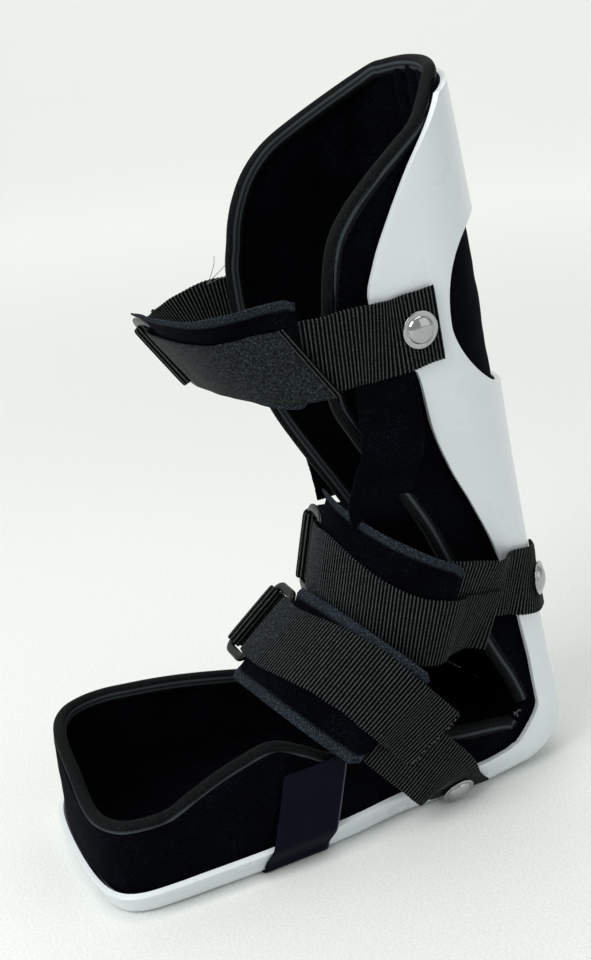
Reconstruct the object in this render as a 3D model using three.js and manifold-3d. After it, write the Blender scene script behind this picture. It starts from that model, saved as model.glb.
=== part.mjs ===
// Plantar fasciitis night splint: an L-shaped plastic shell that holds a padded boot liner, three webbing
// straps with pads and loops round the leg, and one tape under the forefoot.
// Millimetres, Z up. The sole lies on Z = 0 with the toe toward -Y, and the origin is on the sole.
// Near is the +X side and far the -X side; the pieces are alike on both unless a table says otherwise.
import * as THREE from 'three';
import { mergeVertices } from 'three/addons/utils/BufferGeometryUtils.js';
import Module from 'manifold-3d';

const wasm = await Module();
wasm.setup();

// Shell
const toeReach = 137; // origin to the front edge of the sole
const toeCap = 37; // length of the rounded toe end
const heelReach = 118; // origin back to where the heel bends up
const heelBend = 30; // outer radius of that bend
const calfLean = 8.1; // degrees that the back leans toward the toe
const calfRun = 358; // length of the back above the bend
const ballHalf = 58; // half widths of the trough
const archHalf = 45;
const neckHalf = 38;
const calfHalf = 58;
const calfRound = 50; // depth of the rounded back of the calf
const footCorner = 6; // radius along the edge of the sole
const flangeRise = 16; // height of the rim round the sole
const flangeFlare = 0.6; // how far the rim spreads for each millimetre that it rises
const wingReach = 83; // depth of the shell at its widest wing
const topArch = 10; // how much lower the top edge is at its corners than at the middle
const topLean = 2.5; // how far the top of the back leans in from the straight line
const shellWall = 3;
const windowHalf = 48; // half height of the opening in the back
const windowDepth = 43; // how far the opening reaches forward round the sides
const windowAt = 244; // its middle, along the back from the heel bend

// Liner and the beads that bind its edges
const linerWall = 6;
const linerReach = 107; // depth of the calf wings at their widest
const footWall = 72; // height of the foot wall beside the instep
const heelSplit = 0.02; // half the gap between the calf liner and the foot liner, as a share of the bend
const beadRadius = 3.4;

// Straps
const webbingWidth = 38;
const webbingThick = 1.5;
const padThick = 5;
const tapeWidth = 38;
const bandThick = 2.5;
const bandWidth = 34;
const barThick = 3;
const barWide = 3.2;
const loopInside = 13; // clear length of a plastic loop along its strap
const sideRoom = 2.6; // clear space in a loop at each edge of its webbing
const rivetCap = 9.5; // radius of the domed cap
const rivetDome = 3.6;
const shankRadius = 2.5;

// Clearances
const gap = 0.3;
const linerRoom = 1.4; // between the shell and the liner
const padRoom = 0.9; // between a pad and the webbing on it
const beadRoom = 0.95; // between a bead and the edge that it binds
const seatRoom = 1.3; // between a strap and the curved shell under it
const holeRoom = 0.4;

const rad = THREE.MathUtils.degToRad;
const bendTurn = Math.PI / 2 + rad(calfLean);
const linerOuter = shellWall + linerRoom;
const linerInner = linerOuter + linerWall;
const fanY = toeCap - toeReach;

// Trough shape along the spine. at runs -1 at the toe cap, 0 where the heel bend starts, 1 where it ends and
// 2 at the top of the shell. turn is the share of the bend that the section has turned through.
// round is how far the corner reaches in from the wall, as a share of the half width, and curve its depth.
const shapeColumns = ['at', 'turn', 'half', 'round', 'curve', 'flare', 'lean'];
const shapeRows = [
  [-1.00, 0.00, ballHalf, footCorner / ballHalf, footCorner, flangeFlare, 0],
  [-0.80, 0.00, 0.97 * ballHalf, footCorner / ballHalf, footCorner, flangeFlare, 0],
  [-0.57, 0.00, 0.90 * ballHalf, footCorner / ballHalf, footCorner, flangeFlare, 0],
  [-0.35, 0.00, archHalf, footCorner / archHalf, footCorner, flangeFlare, 0],
  [-0.17, 0.03, archHalf, 0.20, 1.5 * footCorner, 0.8 * flangeFlare, 0],
  [-0.06, 0.15, 0.96 * archHalf, 0.30, 2.0 * footCorner, 0.6 * flangeFlare, 0],
  [0.00, 0.25, 1.12 * neckHalf, 0.40, 0.30 * calfRound, 0.4 * flangeFlare, 0],
  [0.50, 0.50, 1.08 * neckHalf, 0.60, 0.40 * calfRound, 0, 0],
  [1.00, 0.72, 1.05 * neckHalf, 0.75, 0.46 * calfRound, 0, 0],
  [1.08, 0.86, 1.02 * neckHalf, 0.78, 0.48 * calfRound, 0, 0],
  [1.18, 1.00, neckHalf, 0.80, 0.50 * calfRound, 0, 0],
  [1.27, 1.00, 1.03 * neckHalf, 0.82, 0.55 * calfRound, 0, 0],
  [1.36, 1.00, 0.73 * calfHalf, 0.86, 0.66 * calfRound, 0, 0],
  [1.45, 1.00, 0.81 * calfHalf, 0.90, 0.80 * calfRound, 0, 0],
  [1.55, 1.00, 0.91 * calfHalf, 0.92, 0.93 * calfRound, 0, 0],
  [1.65, 1.00, 0.975 * calfHalf, 0.93, calfRound, 0, 0],
  [1.75, 1.00, calfHalf, 0.93, calfRound, 0, 0.1 * topLean],
  [1.90, 1.00, calfHalf, 0.93, calfRound, 0, 0.6 * topLean],
  [2.03, 1.00, 0.97 * calfHalf, 0.93, calfRound, 0, topLean],
];

// Depth of the shell's front edge below the spine
const shellEdgeRows = [
  [-1.00, 0.90 * flangeRise], [-0.57, flangeRise], [-0.17, 1.1 * flangeRise], [0.00, 1.45 * flangeRise],
  [0.50, 0.47 * wingReach], [1.00, 0.36 * wingReach], [1.10, 0.32 * wingReach], [1.22, 0.35 * wingReach],
  [1.31, 0.40 * wingReach], [1.40, 0.52 * wingReach], [1.47, 0.64 * wingReach], [1.55, 0.74 * wingReach],
  [1.63, 0.78 * wingReach], [1.67, 0.89 * wingReach], [1.71, 0.98 * wingReach], [1.755, wingReach],
  [1.80, 0.94 * wingReach], [1.85, 0.84 * wingReach], [1.90, 0.70 * wingReach], [1.94, 0.57 * wingReach],
  [1.975, 0.44 * wingReach], [2.00, 0.33 * wingReach],
];

// Depth of the liner's edge on the near and the far side
const linerEdgeRows = [
  [-1.00, 0.70 * footWall, 0.93 * footWall], [-0.92, 0.81 * footWall, 0.92 * footWall],
  [-0.84, 0.90 * footWall, 0.90 * footWall], [-0.74, 0.96 * footWall, 0.86 * footWall],
  [-0.66, 0.84 * footWall, 0.82 * footWall], [-0.57, 0.68 * footWall, 0.77 * footWall],
  [-0.35, 0.58 * footWall, 0.64 * footWall],
  [-0.17, 0.50 * footWall, 0.64 * footWall], [0.00, 0.46 * footWall, 0.54 * footWall],
  [0.50, 0.36 * linerReach, 0.37 * linerReach], [1.00, 0.32 * linerReach, 0.44 * linerReach],
  [1.10, 0.37 * linerReach, 0.52 * linerReach], [1.23, 0.47 * linerReach, 0.60 * linerReach],
  [1.38, 0.62 * linerReach, 0.75 * linerReach], [1.46, 0.74 * linerReach, 0.86 * linerReach],
  [1.56, 0.91 * linerReach, 0.98 * linerReach], [1.64, linerReach, 1.03 * linerReach],
  [1.70, 0.98 * linerReach, 1.04 * linerReach], [1.77, 0.93 * linerReach, 1.02 * linerReach],
  [1.81, 0.89 * linerReach, 0.98 * linerReach], [1.85, 0.82 * linerReach, 0.93 * linerReach],
  [1.895, 0.64 * linerReach, 0.83 * linerReach], [1.93, 0.48 * linerReach, 0.70 * linerReach],
  [1.96, 0.34 * linerReach, 0.52 * linerReach], [1.985, 0.24 * linerReach, 0.33 * linerReach],
  [2.01, 0.17 * linerReach, 0.17 * linerReach],
];

// Height of the rim round the toe: by the angle from straight sideways (0) to straight forward (90)
const toeRows = [
  [0, 0.90 * flangeRise, 0.70 * footWall, 0.93 * footWall],
  [45, 0.80 * flangeRise, 0.64 * footWall, 0.90 * footWall],
  [90, 0.80 * flangeRise, 0.79 * footWall, 0.79 * footWall],
];

// Smooth value of one column of a table at a place between its rows, without overshoot
function tableValue(rows, column, at) {
  const last = rows.length - 1;
  const place = Math.min(Math.max(at, rows[0][0]), rows[last][0]);
  let k = 0;
  while (k < last - 1 && place > rows[k + 1][0]) k += 1;
  const slope = (n) => (rows[n + 1][column] - rows[n][column]) / (rows[n + 1][0] - rows[n][0]);
  const tangent = (n) => {
    if (n === 0) return slope(0);
    if (n === last) return slope(last - 1);
    const before = slope(n - 1);
    const after = slope(n);
    return before * after <= 0 ? 0 : (2 * before * after) / (before + after);
  };
  const span = rows[k + 1][0] - rows[k][0];
  const t = (place - rows[k][0]) / span;
  const rise = t * t * (3 - 2 * t);
  const value = rows[k][column] * (1 - rise) + rows[k + 1][column] * rise;
  return value + span * (t * (1 - t) ** 2 * tangent(k) - t * t * (1 - t) * tangent(k + 1));
}

// Point, section direction and outline of the trough at one station
function stationAt(at, side) {
  const shape = {};
  shapeColumns.forEach((name, column) => {
    shape[name] = column === 0 ? at : tableValue(shapeRows, column, at);
  });
  const point = new THREE.Vector3(0, heelReach, 0);
  const bend = Math.min(Math.max(at, 0), 1) * bendTurn;
  if (at < 0) point.y += at * (heelReach - fanY);
  point.y += heelBend * Math.sin(bend);
  point.z += heelBend * (1 - Math.cos(bend));
  const tangent = new THREE.Vector3(0, Math.cos(bend), Math.sin(bend));
  if (at > 1) point.addScaledVector(tangent, (at - 1) * calfRun);
  const up = new THREE.Vector3(0, -Math.sin(shape.turn * bendTurn), Math.cos(shape.turn * bendTurn));
  point.addScaledVector(up, shape.lean);
  const arch = topArch * THREE.MathUtils.smoothstep(at, 1.9, 2.03);
  return { ...shape, side, point, tangent, up, out: new THREE.Vector3(side, 0, 0), arch };
}

// The same for a station of the rounded toe, whose plan is a squared circle, squarer on the shell
function toeStationAt(degrees, side, square) {
  const angle = rad(degrees);
  const plan = ((Math.cos(angle) / ballHalf) ** square + (Math.sin(angle) / toeCap) ** square) ** (-1 / square);
  const out = new THREE.Vector3(side * Math.cos(angle), -Math.sin(angle), 0);
  return { ...stationAt(-1, side), degrees, out, half: plan, round: footCorner / plan };
}

// Depth of the edge at a station, from the tables above
function edgeDepth(station, piece) {
  const isShell = piece === 'shell';
  const near = station.side > 0;
  if (station.degrees !== undefined) return tableValue(toeRows, isShell ? 1 : near ? 2 : 3, station.degrees);
  if (isShell) return tableValue(shellEdgeRows, 1, station.at);
  return tableValue(linerEdgeRows, near ? 1 : 2, station.at);
}

// Points of half a section, from the spine outward, on a surface that lies inset from the outer face
const cornerSteps = 5;
const wallSteps = 2;
function sectionPoints(station, depth, inset) {
  const across = Math.max(station.round * station.half - inset, 1);
  const curve = Math.max(station.curve - inset, 1);
  const half = station.half - inset;
  const endTurn = depth - inset >= curve ? Math.PI / 2 : Math.acos(1 - (depth - inset) / curve);
  const flat = [[0, inset]];
  for (let k = 0; k <= cornerSteps; k += 1) {
    const turn = (endTurn * k) / cornerSteps;
    flat.push([half - across + across * Math.sin(turn), inset + curve * (1 - Math.cos(turn))]);
  }
  const base = inset + curve;
  const rimDepth = Math.min(depth, Math.max(flangeRise, base));
  const rimHalf = half + station.flare * Math.max(rimDepth - base, 0);
  const isWalled = depth - inset >= curve;
  for (let k = 0; k <= wallSteps; k += 1) {
    const last = flat[flat.length - 1];
    flat.push(isWalled ? [rimHalf, rimDepth + ((depth - rimDepth) * k) / wallSteps] : [...last]);
  }
  return flat.map(([x, d]) => {
    const sag = station.arch * (x / station.half) ** 2;
    return station.point.clone().addScaledVector(station.out, x).addScaledVector(station.up, d)
      .addScaledVector(station.tangent, -sag);
  });
}

// Point on the shell's outer face at a depth from the spine, moved off it by an offset, with the face's
// normal and its direction along the spine
function seatAt(at, depth, side, offset) {
  const onFace = (place) => {
    const station = stationAt(place, side);
    const across = station.round * station.half;
    const onCorner = depth < station.curve;
    const turn = onCorner ? Math.acos(1 - depth / station.curve) : Math.PI / 2;
    const x = station.half - across * (1 - Math.sin(turn)) + station.flare * Math.max(depth - station.curve, 0);
    const slope = onCorner ? [Math.sin(turn) / across, -Math.cos(turn) / station.curve] : [1, -station.flare];
    const normal = station.out.clone().multiplyScalar(slope[0]).addScaledVector(station.up, slope[1]).normalize();
    const point = station.point.clone().addScaledVector(station.out, x).addScaledVector(station.up, depth);
    return { point, normal };
  };
  const here = onFace(at);
  const spineward = onFace(at + 0.02).point.sub(onFace(at - 0.02).point).normalize();
  const normal = here.normal.addScaledVector(spineward, -here.normal.dot(spineward)).normalize();
  return { point: here.point.addScaledVector(normal, offset), normal, spineward };
}

// Turns a list of triangles into one closed geometry that faces outward
function closedGeometry(triangles) {
  let volume = 0;
  triangles.forEach(([a, b, c]) => {
    volume += a.dot(b.clone().cross(c));
  });
  const positions = [];
  triangles.forEach(([a, b, c]) => {
    const order = volume < 0 ? [a, c, b] : [a, b, c];
    order.forEach((p) => positions.push(p.x, p.y, p.z));
  });
  const loose = new THREE.BufferGeometry();
  loose.setAttribute('position', new THREE.Float32BufferAttribute(positions, 3));
  const merged = mergeVertices(loose, 1e-4);
  const index = Array.from(merged.index.array);
  const kept = [];
  for (let k = 0; k < index.length; k += 3) {
    const [a, b, c] = index.slice(k, k + 3);
    if (a !== b && b !== c && c !== a) kept.push(a, b, c);
  }
  merged.setIndex(kept);
  return merged;
}

function addQuad(triangles, a, b, c, d) {
  triangles.push([a, b, c], [a, c, d]);
}

// Closed trough between two insets, from stations that run from its top or heel end toward the toe
function trough(makeStations, outerInset, innerInset, piece, closedToe) {
  const triangles = [];
  [1, -1].forEach((side) => {
    const stations = makeStations(side);
    const outer = stations.map((station) => sectionPoints(station, edgeDepth(station, piece), outerInset));
    const inner = stations.map((station) => sectionPoints(station, edgeDepth(station, piece), innerInset));
    const quad = (a, b, c, d) => (side > 0 ? addQuad(triangles, a, b, c, d) : addQuad(triangles, a, d, c, b));
    const rows = stations.length - 1;
    const rim = outer[0].length - 1;
    for (let i = 0; i < rows; i += 1) {
      for (let j = 0; j < rim; j += 1) {
        quad(outer[i][j], outer[i + 1][j], outer[i + 1][j + 1], outer[i][j + 1]);
        quad(inner[i][j], inner[i][j + 1], inner[i + 1][j + 1], inner[i + 1][j]);
      }
      quad(outer[i][rim], outer[i + 1][rim], inner[i + 1][rim], inner[i][rim]);
    }
    for (let j = 0; j < rim; j += 1) {
      quad(outer[0][j], outer[0][j + 1], inner[0][j + 1], inner[0][j]);
      if (!closedToe) quad(outer[rows][j + 1], outer[rows][j], inner[rows][j], inner[rows][j + 1]);
    }
  });
  return closedGeometry(triangles);
}

// Evenly spaced places from one end to the other
function spaced(from, to, steps) {
  return Array.from({ length: steps + 1 }, (_, k) => from + ((to - from) * k) / steps);
}

const shellToe = 4; // how square the toe is in plan, 2 for an ellipse
const linerToe = 3;
const toeAngles = [15, 30, 42, 50, 58, 70, 90];
const backPlaces = [2.0, 1.975, 1.94, 1.9, 1.85, 1.8, 1.755, 1.71, 1.67, 1.63, 1.55, 1.47, 1.4, 1.31, 1.22, 1.1];
const heelPlaces = [1.0, 0.75, 0.5, 0.25, 0.0];
const solePlaces = [-0.06, -0.17, -0.35, -0.57, -0.8, -1.0];

const shellStations = (side) => [
  ...[...backPlaces, ...heelPlaces, ...solePlaces].map((at) => stationAt(at, side)),
  ...toeAngles.map((angle) => toeStationAt(angle, side, shellToe)),
];
const linerTop = 2.01;
const calfPlaces = [linerTop, 1.985, 1.955, 1.915, 1.865, 1.82, 1.78, 1.735, 1.685, 1.64, 1.57, 1.51,
  1.465, 1.4, 1.33, 1.26, 1.19, 1.13, 1.08, 1.0, 0.75, 0.5 + heelSplit];
const footPlaces = [0.5 - heelSplit, 0.25, 0.0, -0.06, -0.17, -0.35, -0.46, -0.57, -0.66, -0.74, -0.84, -0.92, -1];
const calfStations = (side) => calfPlaces.map((at) => stationAt(at, side));
const footStations = (side) => [
  ...footPlaces.map((at) => stationAt(at, side)),
  ...toeAngles.map((angle) => toeStationAt(angle, side, linerToe)),
];

// Solids for cutting
function solidOf(geometry) {
  const bare = geometry.clone();
  bare.deleteAttribute('normal');
  bare.deleteAttribute('uv');
  const merged = mergeVertices(bare, 1e-5);
  const vertProperties = new Float32Array(merged.attributes.position.array);
  return new wasm.Manifold(new wasm.Mesh({ numProp: 3, vertProperties, triVerts: new Uint32Array(merged.index.array) }));
}

function geometryOf(solid) {
  const mesh = solid.getMesh();
  const geometry = new THREE.BufferGeometry();
  geometry.setAttribute('position', new THREE.Float32BufferAttribute(mesh.vertProperties, 3));
  geometry.setIndex(Array.from(mesh.triVerts));
  return geometry;
}

// Prism along X that opens the back of the shell, an upright squared oval seen from the side
function windowCutter() {
  const middle = stationAt(1 + windowAt / calfRun, 1);
  const shape = new THREE.Shape();
  const steps = 28;
  for (let k = 0; k < steps; k += 1) {
    const angle = (2 * Math.PI * k) / steps;
    const c = Math.cos(angle);
    const s = Math.sin(angle);
    const reach = (Math.abs(c) ** 2.4 + Math.abs(s) ** 2.4) ** (-1 / 2.4);
    const place = middle.point.clone().addScaledVector(middle.up, windowDepth * reach * c)
      .addScaledVector(middle.tangent, windowHalf * reach * s);
    if (k === 0) shape.moveTo(place.y, place.z);
    else shape.lineTo(place.y, place.z);
  }
  const length = 4 * calfHalf;
  const geometry = new THREE.ExtrudeGeometry(shape, { depth: length, bevelEnabled: false });
  const toAxes = new THREE.Matrix4().makeBasis(
    new THREE.Vector3(0, 1, 0),
    new THREE.Vector3(0, 0, 1),
    new THREE.Vector3(1, 0, 0),
  );
  return solidOf(geometry.applyMatrix4(toAxes).translate(-length / 2, 0, 0));
}

// A ribbon swept through centre points, each with the direction of its width
function ribbon(stations, width, thick) {
  const corners = stations.map(({ point, across }, k) => {
    const before = stations[Math.max(k - 1, 0)].point;
    const after = stations[Math.min(k + 1, stations.length - 1)].point;
    const along = after.clone().sub(before).normalize();
    const wide = across.clone().normalize();
    const face = along.clone().cross(wide).normalize();
    return [[1, 1], [1, -1], [-1, -1], [-1, 1]].map(([w, f]) => point.clone()
      .addScaledVector(wide, (w * width) / 2).addScaledVector(face, (f * thick) / 2));
  });
  const triangles = [];
  for (let k = 0; k < corners.length - 1; k += 1) {
    for (let c = 0; c < 4; c += 1) {
      const d = (c + 1) % 4;
      addQuad(triangles, corners[k][c], corners[k][d], corners[k + 1][d], corners[k + 1][c]);
    }
  }
  const end = corners[corners.length - 1];
  addQuad(triangles, corners[0][3], corners[0][2], corners[0][1], corners[0][0]);
  addQuad(triangles, end[0], end[1], end[2], end[3]);
  return closedGeometry(triangles);
}

// Strap loops. Each starts on the shell, at seat rows that give the place along the spine and the depth; the
// second row is the rivet's. From there it lies in a plane that rises by pitch degrees toward the toe: side
// rows give the place forward of the rivet and the distance from the middle plane, and from sideRun on the
// loop closes in a half oval. lean tips the upper edge outward, in degrees, by the share of the whole length.
const barFold = Math.hypot(barThick, barWide) / 2 + gap + webbingThick / 2;
const layerStep = webbingThick + 2 * gap;
const loops = {
  calf: {
    seat: [[1.698, 51], [1.698, 62], [1.698, 76]], pitch: -4, half: 61.5, sideRun: 48, reach: 55, square: 2,
    side: [[32, 61.2]], barAt: 0.565, tailAt: 0.235, drift: 0,
    lean: [[0, 3], [0.2, 4], [0.28, 12], [0.38, 30], [0.5, 32], [0.66, 32], [0.82, 6], [1, 3]],
    rivetLift: 0, foldRoom: 0.8,
    pad: { from: 0.24, to: 0.55, width: 56, drift: [0, 0] },
  },
  ankle: {
    seat: [[1.216, 2.5], [1.226, 9.4], [1.238, 18], [1.25, 27]], pitch: 12.5, half: 52, sideRun: 66, reach: 45,
    square: 2, side: [[34, 45.5], [52, 50]], barAt: 0.56, tailAt: 0.15, drift: -20,
    lean: [[0, 0], [0.1, 20], [0.14, 22], [0.25, 10], [0.4, 0], [0.66, 0], [0.86, 22], [0.9, 20], [1, 0]],
    rivetLift: 0.8, foldRoom: 0.1,
    pad: { from: 0.22, to: 0.54, width: 58, drift: [-14, 12] },
  },
  instep: {
    seat: [[-0.236, 7.6], [-0.252, 11.4], [-0.268, 15.8]], pitch: 50, half: 63.5, sideRun: 50, reach: 66,
    square: 2.6, side: [[22, 62.4]], barAt: 0.55, tailAt: 0.17, drift: 13, skewed: true,
    lean: [[0, 0], [1, 0]],
    rivetLift: 1.7, foldRoom: 0.1,
    pad: { from: 0.245, to: 0.53, width: 52, drift: [5, 1] },
  },
};

function buildLoop(spec) {
  const pitch = rad(spec.pitch);
  const forward = new THREE.Vector3(0, -Math.cos(pitch), Math.sin(pitch));
  const wide = new THREE.Vector3(0, Math.sin(pitch), Math.cos(pitch));
  const seatsOn = (side) => spec.seat.map(([at, depth]) => seatAt(at, depth, side, seatRoom + webbingThick / 2));
  const seats = { near: seatsOn(1), far: seatsOn(-1) };
  const rivetPoint = seats.near[1].point;
  const place = (g, x) => new THREE.Vector3(x, rivetPoint.y, rivetPoint.z).addScaledVector(forward, g);
  const near = [...seats.near.map((seat) => seat.point), ...spec.side.map(([g, x]) => place(g, x))];
  const arch = spaced(0, 180, 14).map((degrees) => {
    const c = Math.cos(rad(degrees));
    const s = Math.sin(rad(degrees));
    const rise = s ** (2 / spec.square);
    return place(spec.sideRun + spec.reach * rise, spec.half * Math.sign(c) * Math.abs(c) ** (2 / spec.square));
  });
  const far = near.map((p) => new THREE.Vector3(-p.x, p.y, p.z)).reverse();
  const curve = new THREE.CatmullRomCurve3([...near, ...arch, ...far], false, 'centripetal');
  curve.arcLengthDivisions = 400;
  const length = curve.getLength();
  const seatPlaces = [0];
  seats.near.slice(1).forEach((seat, k) => {
    seatPlaces.push(seatPlaces[k] + seat.point.distanceTo(seats.near[k].point) / length);
  });
  const seatEnd = seatPlaces[seatPlaces.length - 1];
  const seatValue = (row, name, place01) => {
    let k = 0;
    while (k < seatPlaces.length - 2 && place01 > seatPlaces[k + 1]) k += 1;
    const t = THREE.MathUtils.clamp((place01 - seatPlaces[k]) / (seatPlaces[k + 1] - seatPlaces[k]), 0, 1);
    return row[k][name].clone().lerp(row[k + 1][name], t).normalize();
  };
  const frame = (u, offset = 0, drift = 0) => {
    const along = curve.getTangentAt(u);
    const fromEnd = Math.min(u, 1 - u);
    const flat = wide.clone().addScaledVector(along, -wide.dot(along)).normalize();
    const outward = flat.clone().cross(along);
    const lean = rad(tableValue(spec.lean, 1, u));
    const free = flat.clone().multiplyScalar(Math.cos(lean)).addScaledVector(outward, Math.sin(lean));
    const row = u < 0.5 ? seats.near : seats.far;
    const seated = along.clone().cross(seatValue(row, 'normal', fromEnd)).normalize();
    if (spec.skewed) seated.copy(seatValue(row, 'spineward', fromEnd));
    if (seated.dot(free) < 0) seated.negate();
    const blend = THREE.MathUtils.smoothstep(fromEnd, seatEnd, seatEnd + 0.07);
    const across = seated.lerp(free, blend).normalize();
    const face = across.clone().cross(along).normalize();
    const point = curve.getPointAt(u).addScaledVector(face, offset).addScaledVector(across, drift);
    return { point, across, along, face };
  };
  return { frame, length, rivetAt: seatPlaces[1] };
}

// Stations of a strap that runs from a rivet to a bar, folds round it and comes back over itself
function foldedStations(loop, from, barAt, tailAt, steps, drift, foldRoom) {
  const fold = barFold + foldRoom;
  const stations = spaced(from, barAt, steps).map((u) => loop.frame(u));
  const atBar = loop.frame(barAt);
  const ahead = atBar.along.clone().multiplyScalar(Math.sign(barAt - from));
  const barCentre = atBar.point.clone().addScaledVector(atBar.face, fold);
  spaced(30, 150, 4).forEach((degrees) => {
    const turn = rad(degrees);
    const point = barCentre.clone().addScaledVector(atBar.face, -fold * Math.cos(turn))
      .addScaledVector(ahead, fold * Math.sin(turn));
    stations.push({ point, across: atBar.across });
  });
  const tailSteps = Math.max(Math.round(steps * Math.abs((barAt - tailAt) / (barAt - from))), 3);
  spaced(barAt, tailAt, tailSteps).forEach((u) => {
    const away = Math.abs(u - barAt) * loop.length;
    const offset = layerStep + (2 * fold - layerStep) * (1 - THREE.MathUtils.smoothstep(away, 0, 22));
    const share = Math.abs((u - barAt) / (tailAt - barAt));
    stations.push(loop.frame(u, offset, drift * THREE.MathUtils.smoothstep(share, 0.08, 0.65)));
  });
  return { stations, barCentre };
}

// Rectangular plastic loop that both bars of a strap joint lie in
function plasticLoop(nearBar, farBar, across) {
  const along = farBar.clone().sub(nearBar);
  const length = along.length();
  along.normalize();
  const wide = across.clone().addScaledVector(along, -across.dot(along)).normalize();
  const face = along.clone().cross(wide);
  const inWide = webbingWidth / 2 + sideRoom;
  const inLong = length / 2 - barWide / 2;
  const outline = (a, b) => [[-a, -b], [a, -b], [a, b], [-a, b]].map(([x, y]) => new THREE.Vector2(x, y));
  const shape = new THREE.Shape(outline(inLong + barWide, inWide + barWide));
  shape.holes.push(new THREE.Path(outline(inLong, inWide)));
  const geometry = new THREE.ExtrudeGeometry(shape, { depth: barThick, bevelEnabled: false });
  geometry.translate(0, 0, -barThick / 2);
  const middle = nearBar.clone().add(farBar).multiplyScalar(0.5);
  const place = new THREE.Matrix4().makeBasis(along, wide, face).setPosition(middle);
  return closedGeometry(trianglesOf(geometry.applyMatrix4(place)));
}

function trianglesOf(geometry) {
  const flat = geometry.index ? geometry.toNonIndexed() : geometry;
  const position = flat.attributes.position;
  const triangles = [];
  for (let k = 0; k < position.count; k += 3) {
    triangles.push([0, 1, 2].map((n) => new THREE.Vector3().fromBufferAttribute(position, k + n)));
  }
  return triangles;
}

// Rivet: a domed cap on the webbing and a shank through the webbing and the shell
function rivetGeometry(lift) {
  const shankLength = webbingThick + seatRoom + shellWall + lift;
  const profile = [[0, -shankLength], [shankRadius, -shankLength], [shankRadius, gap], [rivetCap, gap]];
  profile.push([rivetCap, gap + 0.8], [0.9 * rivetCap, gap + 1.2]);
  [0.75, 0.5, 0.25, 0].forEach((share) => {
    profile.push([0.9 * rivetCap * share, gap + 1.2 + (rivetDome - 1.2) * Math.sqrt(1 - share * share)]);
  });
  const points = profile.map(([x, y]) => new THREE.Vector2(x, y));
  return closedGeometry(trianglesOf(new THREE.LatheGeometry(points, 12)));
}

function shankCutter() {
  const geometry = new THREE.CylinderGeometry(shankRadius + holeRoom, shankRadius + holeRoom, 40, 12);
  return geometry;
}

// Matrix that carries the Y axis to a direction at a point
function along(point, direction) {
  const turn = new THREE.Quaternion().setFromUnitVectors(new THREE.Vector3(0, 1, 0), direction);
  return new THREE.Matrix4().compose(point, turn, new THREE.Vector3(1, 1, 1));
}

// Materials
const material = (color, roughness, metalness = 0) => new THREE.MeshStandardMaterial({ color, roughness, metalness });
const plastic = material('#c6cad0', 0.3);
const velour = material('#0d0f14', 0.95);
const trim = material('#15191b', 0.8);
const webbing = material('#17191c', 0.75);
const tape = material('#0e121e', 0.7);
const moulding = material('#0c0d0f', 0.3);
const chrome = material('#d8dadc', 0.15, 1);

const splint = new THREE.Group();
function add(name, geometry, look) {
  const mesh = new THREE.Mesh(geometry, look);
  mesh.name = name;
  splint.add(mesh);
}

// Straps, loops, pads and rivets
const shellCutters = [windowCutter()];
const built = {};
Object.entries(loops).forEach(([name, spec]) => {
  const loop = buildLoop(spec);
  built[name] = loop;
  const farBarAt = spec.barAt + (loopInside + barWide) / loop.length;
  const near = foldedStations(loop, 0, spec.barAt, spec.tailAt, 22, spec.drift, spec.foldRoom);
  const far = foldedStations(loop, 1, farBarAt, farBarAt + 24 / loop.length, 18, 0, spec.foldRoom);
  const strapCuts = { near: [], far: [] };
  [['near', loop.rivetAt], ['far', 1 - loop.rivetAt]].forEach(([sideName, u]) => {
    const seat = loop.frame(u, webbingThick / 2 + spec.rivetLift);
    const place = along(seat.point, seat.face);
    add(`${name}_rivet_${sideName}`, rivetGeometry(spec.rivetLift).applyMatrix4(place), chrome);
    shellCutters.push(solidOf(shankCutter().applyMatrix4(place)));
    strapCuts[sideName].push(solidOf(shankCutter().applyMatrix4(place)));
  });
  const nearSolid = solidOf(ribbon(near.stations, webbingWidth, webbingThick));
  const farSolid = solidOf(ribbon(far.stations, webbingWidth, webbingThick));
  add(`${name}_strap`, geometryOf(nearSolid.subtract(strapCuts.near[0])), webbing);
  add(`${name}_strap_far`, geometryOf(farSolid.subtract(strapCuts.far[0])), webbing);
  add(`${name}_loop`, plasticLoop(near.barCentre, far.barCentre, loop.frame(spec.barAt).across), moulding);
  const padOffset = -(webbingThick + padThick) / 2 - padRoom;
  const padStations = spaced(0, 1, 18).map((share) => {
    const u = THREE.MathUtils.lerp(spec.pad.from, spec.pad.to, share);
    return loop.frame(u, padOffset, THREE.MathUtils.lerp(spec.pad.drift[0], spec.pad.drift[1], share));
  });
  add(`${name}_pad`, ribbon(padStations, spec.pad.width, padThick), velour);
});

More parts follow.
